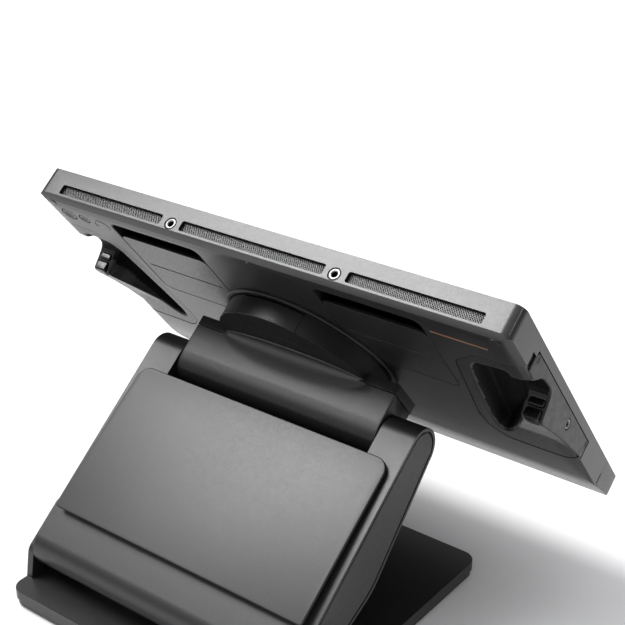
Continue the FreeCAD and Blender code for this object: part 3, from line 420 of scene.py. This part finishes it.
def slab(outline, t0, t1, round0, round1, steps):
    """A plate from t0 to t1 along its third axis, its edges rounded at each face."""
    angles = [math.pi / 2 * j / steps for j in range(steps + 1)]
    rings = [(round0 * (1 - math.sin(a)), t0 + round0 * (1 - math.cos(a))) for a in angles]
    rings += [(round1 * (1 - math.cos(a)), t1 - round1 * (1 - math.sin(a))) for a in angles]
    points = [(p, q, t) for distance, t in rings for p, q in inset(outline, distance)]
    return np.array(points), loft(len(rings), len(outline), reversed_cap=0)


def grid_points(x, up, depth):
    return np.stack(np.broadcast_arrays(x, up, depth), -1).reshape(-1, 3)


def two_layer_faces(rows, cols, walls_with_rows):
    """Faces of two stacked grids and the walls round them.

    The walls at the first and last column are listed after each row, or after all rows.
    """
    layer = rows * cols

    def wall(a, step):
        return (a, a + step, layer + a + step, layer + a)

    faces, late = [], []
    for i in range(rows - 1):
        for a in range(i * cols, i * cols + cols - 1):
            b = layer + a
            faces.append((a, a + 1, a + cols + 1, a + cols))
            faces.append((b, b + cols, b + cols + 1, b + 1))
        target = faces if walls_with_rows else late
        target += [wall(i * cols + j, cols) for j in (0, cols - 1)]
    faces += late
    for j in range(cols - 1):
        faces += [wall(i * cols + j, 1) for i in (0, rows - 1)]
    return faces


def smoothstep(x):
    x = np.clip(x, 0.0, 1.0)
    return x * x * (3 - 2 * x)


def rise(value, start, span):
    """0 below start, easing to 1 over the span."""
    return smoothstep((value - start) / span)


def fall(value, start, span):
    """0 above start, easing to 1 over the span as the value drops."""
    return smoothstep((start - value) / span)


def signed_inside(first, second, outline):
    """Distance of grid points to an outline, positive inside."""
    points = np.c_[first.ravel(), second.ravel()]
    nearest = np.full(len(points), 1e9)
    inside = np.zeros(len(points), bool)
    for start, end in zip(outline, np.roll(outline, -1, 0)):
        edge = end - start
        length2 = float(edge @ edge)
        if length2 < 1e-12:
            continue
        t = np.clip(((points - start) @ edge) / length2, 0, 1)
        gap = np.linalg.norm(points - (start + t[:, None] * edge), axis=1)
        nearest = np.minimum(nearest, gap)
        spans = (start[1] > points[:, 1]) != (end[1] > points[:, 1])
        slope = edge[1] if abs(edge[1]) > 1e-12 else 1e-12
        crossing = start[0] + (points[:, 1] - start[1]) * edge[0] / slope
        inside ^= spans & (points[:, 0] < crossing)
    return np.where(inside, nearest, -nearest).reshape(first.shape)


# ---------------------------------------------------------------- side grips
RIM_DEPTH = 26.2        # rear face of the housing at its outer rim
GRIP_BASE = 14.45       # depth of the flat face towards the glass
GRIP_OUTER_X = 246.85
KEY_BAY_X = 230.6       # inner side of the raised block round the keys
SKIN_X = 248.38         # outer face of the side skin
SKIN_INNER_X = 246.05
SKIN_EDGE = 8.95        # depth of the skin's edge nearest the glass
SIDE_BUSH = (-3.0, 19.5)            # up, depth
SCREW_UPS = (-56.0, 100.0)
SCREW_DEPTH, SCREW_OFFSET = 13.6, 1.5   # pair centre and half spacing, in depth

# Crest of the grip along the side: up, depth
CREST = np.array([
    (116, 26.2), (113.8, 26.3), (107, 26.5), (96, 27.3), (91, 26.9), (87.5, 25.6), (84.0, 23.0),
    (80.5, 20.2), (76, 18.4), (71, 17.5), (64, 17.0), (57.5, 16.9), (53.8, 17.9), (51.3, 20.2),
    (49.6, 23.5), (48.4, 27.2), (47.2, 31), (46.3, 34.5), (45.4, 38), (44.2, 40.6), (42.6, 41.7),
    (40.6, 41.9), (36.4, 41.3), (12.4, 36.2), (-13.5, 31.2), (-39.4, 27.6), (-54.3, 25.9),
    (-60, 25.3)])

# Grip outline: x, up, corner radius
OUTLINE_CORNERS = np.array([
    (178.8, 89.8, 24), (176.8, 70.0, 60), (171.3, 28.0, 0), (165.8, -18.0, 60),
    (168.3, -37.8, 13.8), (182.2, -54.3, 13.8), (250.0, -54.3, 0), (250.0, 113.8, 0),
    (205.1, 113.8, 19.8)])
OUTLINE = fillet(OUTLINE_CORNERS[:, :2], OUTLINE_CORNERS[:, 2], 12)

# Outline of the sunk pocket: x, up, corner radius
POCKET_CORNERS = np.array([
    (197.5, 97.5, 13), (190, 84, 20), (186.5, 62, 60), (182.2, 30, 60), (178.0, -4, 40),
    (177.2, -22, 20), (179.5, -36.5, 8), (188, -39.5, 8), (195.5, -32, 20), (205, -17, 40),
    (214, 0, 60), (221, 16, 40), (227.2, 28, 20), (230.4, 36, 3), (230.4, 50.3, 1.5),
    (262, 50.3, 0), (262, 104, 0), (238, 103, 20), (216, 100.5, 20)])
POCKET = fillet(POCKET_CORNERS[:, :2], POCKET_CORNERS[:, 2], 8)


def body_rear(x, up):
    """Depth of the housing's rear face, falling away at its edges."""
    along_up = np.interp(up, [-118, -98, -78, -60, 140, 147.5, 153.5, 157.8, 160],
                         [26.2, 28.9, 30.4, 30.8, 30.8, 30.6, 29.8, 28.1, 26.2])
    along_x = np.interp(x, [228.5, 236, 242, 246.3, 248.5], [30.8, 30.6, 29.8, 28.1, 26.2])
    return np.minimum(along_up, along_x)


def crest(up):
    return np.interp(-up, -CREST[:, 0], CREST[:, 1])


def row_start(up):
    """The smallest x where a line at this height meets the outline."""
    return min(p[0] + (q[0] - p[0]) * (up - p[1]) / (q[1] - p[1])
               for p, q in zip(OUTLINE, np.roll(OUTLINE, -1, 0))
               if (p[1] - up) * (q[1] - up) <= 0 and abs(p[1] - q[1]) > 1e-9)


def grip_depth(x, up):
    """Depth of the grip's rear face, and the distance inside the pocket."""
    body = body_rear(x, up)
    ridge = crest(up)
    lip = body - 0.22
    # Lower and upper outer parts: the crest, blended into the housing at the far ends
    lower = np.minimum(ridge + (body - RIM_DEPTH) * fall(up, -5.0, 45.0), np.maximum(lip, ridge))
    upper = np.minimum(ridge + (body - RIM_DEPTH) * rise(up, 84.0, 12.0), body - 0.15)

    # Rim of the pocket: the lip on the inner side passes into the crest on the outer side
    middle = np.interp(up, [-40, -20, 0, 20, 36, 52, 70], [184, 190, 198, 206, 212, 216, 218])
    outer = rise(x, middle - 7.0, 14.0)
    outer_upper = rise(x, 221.0, 14.0)
    low = fall(up, 54.0, 3.0)
    rim = ((lip * (1 - outer) + lower * outer) * low
           + (lip * (1 - outer_upper) + upper * outer_upper) * (1 - low))

    # Pocket wall, its width changing round the pocket, down to a gently waved floor
    inside = signed_inside(x, up, POCKET)
    width = ((9.5 - 2.5 * fall(up, -5, 25.0)) * (1 - outer * low)
             + (7.5 + 3.0 * fall(up, 36.0, 55.0)) * outer * low)
    wall = 1.0 - smoothstep(np.clip(inside, 0, None) / width)
    floor_depth = 16.4 + 0.9 * np.cos((up - 20) / 26.0) * rise(x, 190, 20.0)
    depth = floor_depth + (rim - floor_depth) * wall

    # Above the keys the outer edge follows the crest; round the keys it is solid
    open_side = rise(x, 219.0, 12.0) * rise(up, 47.0, 6.0)
    depth = depth * (1 - open_side) + upper * open_side
    return np.where((up < 50.2) & (x > KEY_BAY_X), lower, depth), inside


# Openings for the two keys: up from, up to, depth from, depth to
KEY_OPENINGS = ((38.0, 54.0, 24.2, 31.3), (36.0, 52.0, 32.7, 44.5))
# Key caps, the same columns
KEY_CAPS = {"upper": (39.2, 49.4, 24.55, 30.95), "lower": (37.2, 47.9, 33.05, 42.5)}


def grip_shell(side, hand):
    ups = np.r_[np.linspace(-54.25, 30, 100), np.linspace(30.9, 60, 66),
                np.linspace(60.9, 113.75, 62)]
    cols = 96
    starts = np.array([row_start(up) for up in ups])[:, None]
    x = starts + (GRIP_OUTER_X - starts) * np.linspace(0, 1, cols)
    up = np.repeat(ups[:, None], cols, 1)
    depth, in_pocket = grip_depth(x, up)
    # Eases the rear edge round the outline
    depth = depth - 0.45 * np.clip(1 - signed_inside(x, up, OUTLINE) / 0.9, 0, 1) ** 2

    # Faces deep in the pocket get the near-black pocket finish: painted shade in the recess
    dark = ((depth < body_rear(x, up) - 1.1) & (in_pocket > 0.3)
            & ~((up < 51) & (x > KEY_BAY_X - 0.6)))
    dark = dark[:-1, :-1] & dark[1:, :-1] & dark[:-1, 1:] & dark[1:, 1:]
    # Rear and base faces alternate; only rear faces can carry the pocket's painted shade
    face_finish = np.stack([dark, np.zeros_like(dark)], -1).ravel()
    points = np.r_[grid_points(side * x, up, depth), grid_points(side * x, up, GRIP_BASE)]
    faces = two_layer_faces(len(ups), cols, walls_with_rows=False)
    shell = piece("grip_shell_" + hand, points, faces, ["grip_satin", "pocket_grained_painted_shade"],
                  "display", 50.0, face_finish)
    for k, (up0, up1, depth0, depth1) in enumerate(KEY_OPENINGS):
        outline = rounded_rect(231.35, 246.25, depth0, depth1, 2.6, 5)
        points, faces = slab(outline, up0, up1, 0.0, 0.0, 1)
        cut(shell, "tool_%s_%d" % (hand, k), points[:, [0, 2, 1]] * (side, 1, 1), faces)
    return shell


def side_skin(side, hand):
    """The outer side, one face from near the glass to the crest, holed for bush and screws."""
    ups = np.r_[np.linspace(-59.7, 40, 120), np.linspace(40.2, 60, 90),
                np.linspace(60.5, 105.8, 80)]
    cols = 34
    # Near the upper end the near edge curves back as a quarter ellipse
    arc = 1 - np.sqrt(np.clip(1 - ((ups - 100.5) / 5.35) ** 2, 0, 1))
    near = np.where(ups > 100.5, SKIN_EDGE + 5.3 * arc, SKIN_EDGE)
    far = np.minimum(crest(ups), 41.85)
    spread = 0.5 - 0.5 * np.cos(np.pi * np.linspace(0, 1, cols))
    depth = near[:, None] + (far - near)[:, None] * spread
    up = np.repeat(ups[:, None], cols, 1)
    outline = np.r_[np.c_[ups, near], np.c_[ups, far][::-1]]
    margin = np.clip(signed_inside(up, depth, outline), 0, None)
    margin[:, [0, -1]] = 0
    margin[[0, -1]] = 0
    x = SKIN_X - 0.75 * np.clip(1 - margin / 1.1, 0, 1) ** 2.2
    points = np.r_[grid_points(side * x, up, depth), grid_points(side * SKIN_INNER_X, up, depth)]
    faces = two_layer_faces(len(ups), cols, walls_with_rows=True)
    skin = piece("grip_side_" + hand, points, faces, ["side_skin_grained"], "display",
                 40.0)

    radius = 1.98
    reach = SCREW_OFFSET + radius
    holes = [np.array(circle(5.15, 48)) + SIDE_BUSH]
    holes += [rounded_rect(at - radius, at + radius, SCREW_DEPTH - reach, SCREW_DEPTH + reach,
                           radius * 0.97, 8) for at in SCREW_UPS]
    for k, outline in enumerate(holes):
        points, faces = slab(outline, 245.2, 249.5, 0.0, 0.0, 1)
        cut(skin, "hole_%s_%d" % (hand, k), points[:, [2, 0, 1]] * (side, 1, 1), faces)


def side_slot(side, hand):
    """The dark shut line at the skin's upper end."""
    outline = rounded_rect(106.0, 107.1, 13.6, 24.6, 0.4, 4)
    points, faces = slab(outline, 246.6, 248.44, 0.0, 0.1, 1)
    piece("side_slot_upper_" + hand, points[:, [2, 0, 1]] * (side, 1, 1), faces,
          ["black_moulded_and_painted_shade"], "display", 40.0)


def key_caps(side, hand):
    for level, (up0, up1, depth0, depth1) in KEY_CAPS.items():
        outline = rounded_rect(231.75, 245.85, depth0, depth1, 2.5, 6)
        points, faces = slab(outline, up0, up1, 0.4, 1.5, 6)
        key = "%s_%s" % (hand, level)
        stand_in("express_key_" + key, "key_cap_" + key, points[:, [0, 2, 1]] * (side, 1, 1),
                 faces, ["key_satin"], "key_" + key, 40.0)


for side, hand in ((1.0, "right"), (-1.0, "left")):
    shell = grip_shell(side, hand)
    side_skin(side, hand)
    side_slot(side, hand)
    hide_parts("grip_" + hand)
    key_caps(side, hand)


# ---------------------------------------------------------------- lattice in the vents
VENTS = ((-76.5, 76.5), (99.0, 223.0), (-223.0, -99.0))     # x from, x to
VENT_OVERLAP = 0.1
VENT_DEPTHS = (14.15, 24.15)
# Up span of the black sheet that paints the shade inside each vent
SHADE_SHEET_UPS = (154.4, 154.9)
LATTICE_UP, LAYER_STEP, BAR_THICKNESS = 155.75, 0.75, 0.72
BAR_PITCH, BAR_HALF_WIDTH = 2.15, 0.38
BAR_LEAN = 0.9          # x per unit of depth
BOX_FACES = ((0, 1, 3, 2), (4, 6, 7, 5), (0, 4, 5, 1), (2, 3, 7, 6), (1, 5, 7, 3), (0, 2, 6, 4))


def part_between(x0, x1, left, right):
    """The fractions of the run x0 to x1 that lie between left and right."""
    low, high = 0.0, 1.0
    for limit, sign in ((left, 1), (right, -1)):
        f0, f1 = sign * (x0 - limit), sign * (x1 - limit)
        if f0 < 0 and f1 < 0:
            low, high = 1.0, 0.0
        elif f0 < 0:
            low = max(low, f0 / (f0 - f1))
        elif f1 < 0:
            high = min(high, f0 / (f0 - f1))
    return low, high


def lattice_bars(left, right, layer, lean):
    """Corner lists of one layer's slanting bars, cut to the vent's width."""
    bars = []
    depth0, depth1 = VENT_DEPTHS
    height = depth1 - depth0
    up0 = LATTICE_UP + LAYER_STEP * layer
    x = left - BAR_LEAN * height
    while x < right + BAR_LEAN * height:
        run = x + lean * height - x
        low, high = part_between(x, x + lean * height, left, right)
        if high - low > 0.04:
            bars.append([(min(max(x + run * t + offset, left), right), up, depth0 + height * t)
                         for t in (low, high)
                         for offset in (-BAR_HALF_WIDTH, BAR_HALF_WIDTH)
                         for up in (up0, up0 + BAR_THICKNESS)])
        x += BAR_PITCH
    return bars


def vent_lattice():
    """Two crossing layers of bars, with a black sheet behind them in each vent as painted shade of
    the vent's inside.
    """
    boxes, box_finish = [], []
    for x0, x1 in VENTS:
        left, right = x0 - VENT_OVERLAP, x1 + VENT_OVERLAP
        bars = lattice_bars(left, right, 0, BAR_LEAN) + lattice_bars(left, right, 1, -BAR_LEAN)
        shade_sheet = [(x, up, depth) for x in (left, right) for up in SHADE_SHEET_UPS for depth in VENT_DEPTHS]
        boxes += bars + [shade_sheet]
        box_finish += [0] * len(bars) + [1]
    points = [corner for box in boxes for corner in box]
    faces = [tuple(8 * k + i for i in face) for k in range(len(boxes)) for face in BOX_FACES]
    stand_in("vent_grilles", "vent_lattice", points, faces, ["grille_woven", "black_moulded_and_painted_shade"],
             "display", 30.0, np.repeat(box_finish, len(BOX_FACES)))


vent_lattice()


# ---------------------------------------------------------------- dished buttons, arch mark
BUTTON_BASE, BUTTON_FACE = 28.2, 30.75      # depths


def dished_button(node, x, up, radius, dish, body):
    profile = [(radius, BUTTON_BASE), (radius, BUTTON_FACE - 0.35),
               (radius - 0.12, BUTTON_FACE - 0.1), (radius - 0.4, BUTTON_FACE)]
    dish_radius = radius - 0.9
    for k in range(1, 9):
        r = dish_radius * (1 - k / 9.0)
        profile.append((r, BUTTON_FACE - dish * (1 - (r / dish_radius) ** 2) - 0.02))
    count = 64
    points = [(x + a, up + b, depth) for r, depth in profile for a, b in circle(r, count)]
    stand_in(node, node + "_dished", points, loft(len(profile), count, reversed_cap=0),
             ["port_cover_satin"], body, 35.0)


dished_button("power_button", x=221.7, up=135.7, radius=7.5, dish=1.3, body="power_key")
dished_button("touch_button", x=202.3, up=135.3, radius=5.35, dish=0.9, body="touch_key")


def bead(path, radius, count=8):
    """A round bead with flat ends along a path."""
    path = np.array(path, float)
    tangents = np.gradient(path, axis=0)
    tangents /= np.linalg.norm(tangents, axis=1, keepdims=True)
    points = []
    for centre, tangent in zip(path, tangents):
        across = np.cross(tangent, np.array([0.0, 0.0, 1.0]))
        across /= np.linalg.norm(across)
        rear = np.cross(across, tangent)
        for k in range(count):
            t = 2 * math.pi * k / count
            points.append(centre + radius * (math.cos(t) * across + math.sin(t) * rear))
    return points, loft(len(path), count, reversed_cap=1)


def arch_mark():
    """A raised arch with its feet turned inwards."""
    x, up, depth, radius = 181.0, 132.0, 30.62, 8.6
    arch = [(x + radius * math.cos(t), up + radius * math.sin(t), depth)
            for t in np.linspace(math.radians(-8), math.radians(188), 40)]
    first, last = arch[0], arch[-1]
    path = [(first[0] - 1.8, first[1] - 1.2, depth), *arch, (last[0] + 1.8, last[1] - 1.2, depth)]
    points, faces = bead(path, 0.48)
    piece("arch_mark", points, faces, ["port_cover_satin"], "display", 40.0)


arch_mark()


# ---------------------------------------------------------------- bushes and side screws
TURNED_COUNT = 40


def turned_set(node, name, rings, finish, painted_shade_bands):
    """Turned rings in one piece, with some bands of each profile black as painted shade in bores,
    grooves and gaps.

    A ring is (centre, side, profile): side is 0 for an axis along up, or 1 or -1 for one along
    x on that side. The profile is a closed loop of (radius, position along the axis).
    """
    points, faces, face_finish = [], [], []
    for (x, up, depth), side, profile in rings:
        first = len(points)
        for radius, along in profile:
            for a, b in circle(radius, TURNED_COUNT):
                points.append((side * along, up + a, depth + b) if side
                              else (x + a, along, depth + b))
        faces += [tuple(first + i for i in face)
                  for face in bands(len(profile), TURNED_COUNT, closed=True)]
        for band in range(len(profile)):
            face_finish += [int(band in painted_shade_bands)] * TURNED_COUNT
    stand_in(node, name, points, faces, [finish, "black_moulded_and_painted_shade"], "display", 32.0, face_finish)


def bush_profile(face, length, outer, bore=2.5):
    """A bored ring with a groove round its face; face is its outer end along the axis."""
    return [(bore, face - length), (bore, face - 0.9), (bore + 0.55, face - 0.12),
            (bore + 0.8, face), (outer - 1.15, face), (outer - 0.95, face - 0.12),
            (outer - 0.85, face - 0.9), (outer - 0.12, face - 0.9), (outer, face - 0.75),
            (outer, face - length)]


# Screw head with a socket and a groove: radius, x
SCREW_PROFILE = [
    (0.35, 247.4), (0.45, 248.05), (0.75, 248.44), (1.05, 248.47), (1.3, 248.40),
    (1.42, 248.05), (1.75, 248.40), (1.95, 248.42), (1.95, 246.2), (0.35, 246.2)]

top_bush = bush_profile(face=159.97, length=7.9, outer=5.95)
side_bush = bush_profile(face=248.46, length=5.9, outer=5.1)
# The bores and face grooves of the bushes are painted black as shade
turned_set("accessory_bushes", "bush_rings",
           [((sign * 87.4, 0, 20.2), 0, top_bush) for sign in (-1, 1)]
           + [((0, *SIDE_BUSH), side, side_bush) for side in (1, -1)],
           "bush_turned", painted_shade_bands=(0, 6, 7, 8))
# Each screw head's socket, groove and outer edge are painted black as shade of the hollows and the
# gap round it
turned_set("side_screws", "side_screw_heads",
           [((0, up, SCREW_DEPTH + offset), side, SCREW_PROFILE)
            for up in SCREW_UPS for offset in (-SCREW_OFFSET, SCREW_OFFSET) for side in (1, -1)],
           "cap_satin", painted_shade_bands=(0, 5, 6, 7, 8))

# ---------------------------------------------------------------- neck shell
NECK_TOP = 28.4                     # up, the shell's upper plane
NECK_START = 55.1                   # depth where the shell begins
BARREL_UP, BARREL_DEPTH, BARREL_RADIUS = 7.5, 87.2, 20.2
COVE_HALF_WIDTH, COVE_RADIUS, COVE_START = 79.0, 17.0, 53.06
# Stations that round each end: x, inset
NECK_ENDS = [(111.7, 0.9), (111.4, 0.3), (110.9, 0.06)]


def neck_section(x):
    """(up, depth) points: cove, upper plane, round the barrel, back along the lower side."""
    cove = COVE_RADIUS * max(0.0, 1.0 - (x / COVE_HALF_WIDTH) ** 2) ** 0.5
    section = []
    for k in range(11):
        t = math.pi / 2 * k / 10
        if cove > 0.5:
            section.append((NECK_TOP + cove * (1 - math.sin(t)),
                            COVE_START + cove * 1.45 * (1 - math.cos(t))))
        else:
            section.append((NECK_TOP, NECK_START + 0.15 * k))
    section += [(NECK_TOP - 0.05 * (depth - 82.0), depth) for depth in (82.0, 84.5)]
    for k in range(25):
        t = math.radians(86 - k * 7.6)
        section.append((BARREL_UP + BARREL_RADIUS * math.sin(t),
                        BARREL_DEPTH + BARREL_RADIUS * math.cos(t)))
    section += [(-10.4, 84.0), (-9.2, 70.0), (-8.0, NECK_START), (10.0, NECK_START)]
    return np.array(section)


def neck_shell():
    stations = [(-x, shrink) for x, shrink in NECK_ENDS]
    stations += [(x, 0.0) for x in np.linspace(-110, 110, 111)]
    stations += NECK_ENDS[::-1]
    points = []
    for x, shrink in stations:
        section = neck_section(x)
        if shrink:
            outward = section - np.array([9.0, 74.0])
            section -= outward / np.linalg.norm(outward, axis=1, keepdims=True) * shrink
            section[:, 1] = np.maximum(section[:, 1], NECK_START)
        points += [(x, up, depth) for up, depth in section]
    stand_in("neck_shell", "neck_shell_cove", points,
             loft(len(stations), len(section), reversed_cap=1), ["stand_satin"], "neck", 40.0)


neck_shell()

# ---------------------------------------------------------------- removable cable cover
COVER_HALF_WIDTH = 139.5
COVER_NEAR, COVER_FAR = 111.5, 263.0        # depths
RAIL_CENTRES, RAIL_WIDTH = (-117.5, 0.0, 117.5), 3.0
RAIL_SECTION = [(128.0, 25.2), (128.0, 30.2), (246.0, 33.6), (246.0, 25.2)]     # depth, up


def cable_cover():
    """A plate that rises and thins slightly with depth, on three rails."""
    outline = rounded_rect(-COVER_HALF_WIDTH, COVER_HALF_WIDTH, COVER_NEAR, COVER_FAR,
                           [13.0, 13.0, 2.0, 2.0], 10)
    points, faces = slab(outline, 0.0, 3.2, 0.3, 0.9, 4)
    x, depth, t = points.T
    along = (depth - COVER_NEAR) / (COVER_FAR - COVER_NEAR)
    up = 29.4 + 4.6 * along + t * (1 - 0.03 * along)
    plate = piece("cable_cover_plate", np.c_[x, up, depth], faces, ["cable_cover_painted_shade_satin"],
                  "cable_cover", 40.0)
    for k, centre in enumerate(RAIL_CENTRES):
        start = centre - RAIL_WIDTH / 2
        outline = fillet(RAIL_SECTION, [1] * 4, 3)
        points, faces = slab(outline, start, start + RAIL_WIDTH, 0.3, 0.3, 2)
        piece("cover_rail_%d" % k, points[:, ::-1], faces, ["black_moulded_and_painted_shade"], "cable_cover",
              40.0)
    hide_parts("arm_cable_cover")


cable_cover()


# ---------------------------------------------------------------- stage, light and camera
def pale_floor(half_size):
    mesh = bpy.data.meshes.new("floor")
    s = half_size
    mesh.from_pydata([(-s, -s, 0), (s, -s, 0), (s, s, 0), (-s, s, 0)], [], [(0, 1, 2, 3)])
    floor = link(bpy.data.objects.new("floor", mesh))
    material = bpy.data.materials.new("floor_pale")
    tree, shader = surface(material)
    feed(tree, shader, {"Base Color": (0.90, 0.90, 0.905, 1), "Roughness": 0.85,
                        "Specular IOR Level": 0.2})
    mesh.materials.append(material)


def studio_world(strength, low, high, backdrop):
    """Light graded from low to high with direction; the camera itself sees a plain backdrop."""
    world = bpy.data.worlds.new("studio")
    bpy.context.scene.world = world
    world.use_nodes = True
    tree = world.node_tree
    light = tree.nodes["Background"]
    direction = add_node(tree, "TexCoord", {}).outputs["Generated"]
    split = add_node(tree, "SeparateXYZ", {0: direction})
    graded = ramp(tree, split.outputs[2], (0.0, low), (1.0, high))
    feed(tree, light, {0: graded, 1: strength})
    back = add_node(tree, "Background", {0: (*backdrop, 1)})
    rays = add_node(tree, "LightPath", {})
    mix = add_node(tree, "MixShader", {0: rays.outputs["Is Camera Ray"], 1: light.outputs[0],
                                       2: back.outputs[0]})
    feed(tree, tree.nodes["World Output"], {0: mix.outputs[0]})


def sun(name, direction, power, angle):
    """A sun shining from the given direction; angle is its width in degrees."""
    light = bpy.data.lights.new(name, "SUN")
    light.energy = power
    light.angle = math.radians(angle)
    ob = link(bpy.data.objects.new(name, light))
    ob.rotation_euler = (-Vector(direction)).to_track_quat("-Z", "Y").to_euler()


def camera(location, rotation, lens):
    data = bpy.data.cameras.new("camera")
    data.sensor_width = 36.0
    data.lens = lens
    data.clip_start = 0.02
    data.clip_end = 60.0
    ob = link(bpy.data.objects.new("camera", data))
    ob.matrix_world = Matrix.Translation(location) @ Matrix(rotation).to_4x4()
    bpy.context.scene.camera = ob


pale_floor(half_size=6.0)
studio_world(strength=1.0, low=(0.12, 0.12, 0.122), high=(0.88, 0.88, 0.89), backdrop=(1, 1, 1))
sun("key_soft", direction=(0.50, 0.16, 0.851), power=2.35, angle=33.0)
bpy.context.scene.view_settings.view_transform = "Standard"
bpy.context.scene.view_settings.look = "Medium High Contrast"
camera(location=(-0.669154, 0.770129, 0.765227),
       rotation=((-0.7924432, 0.2623883, -0.5506235),
                 (-0.6099458, -0.3408613, 0.7153878),
                 (0.0000232, 0.9027546, 0.4301559)),
       lens=78.368)
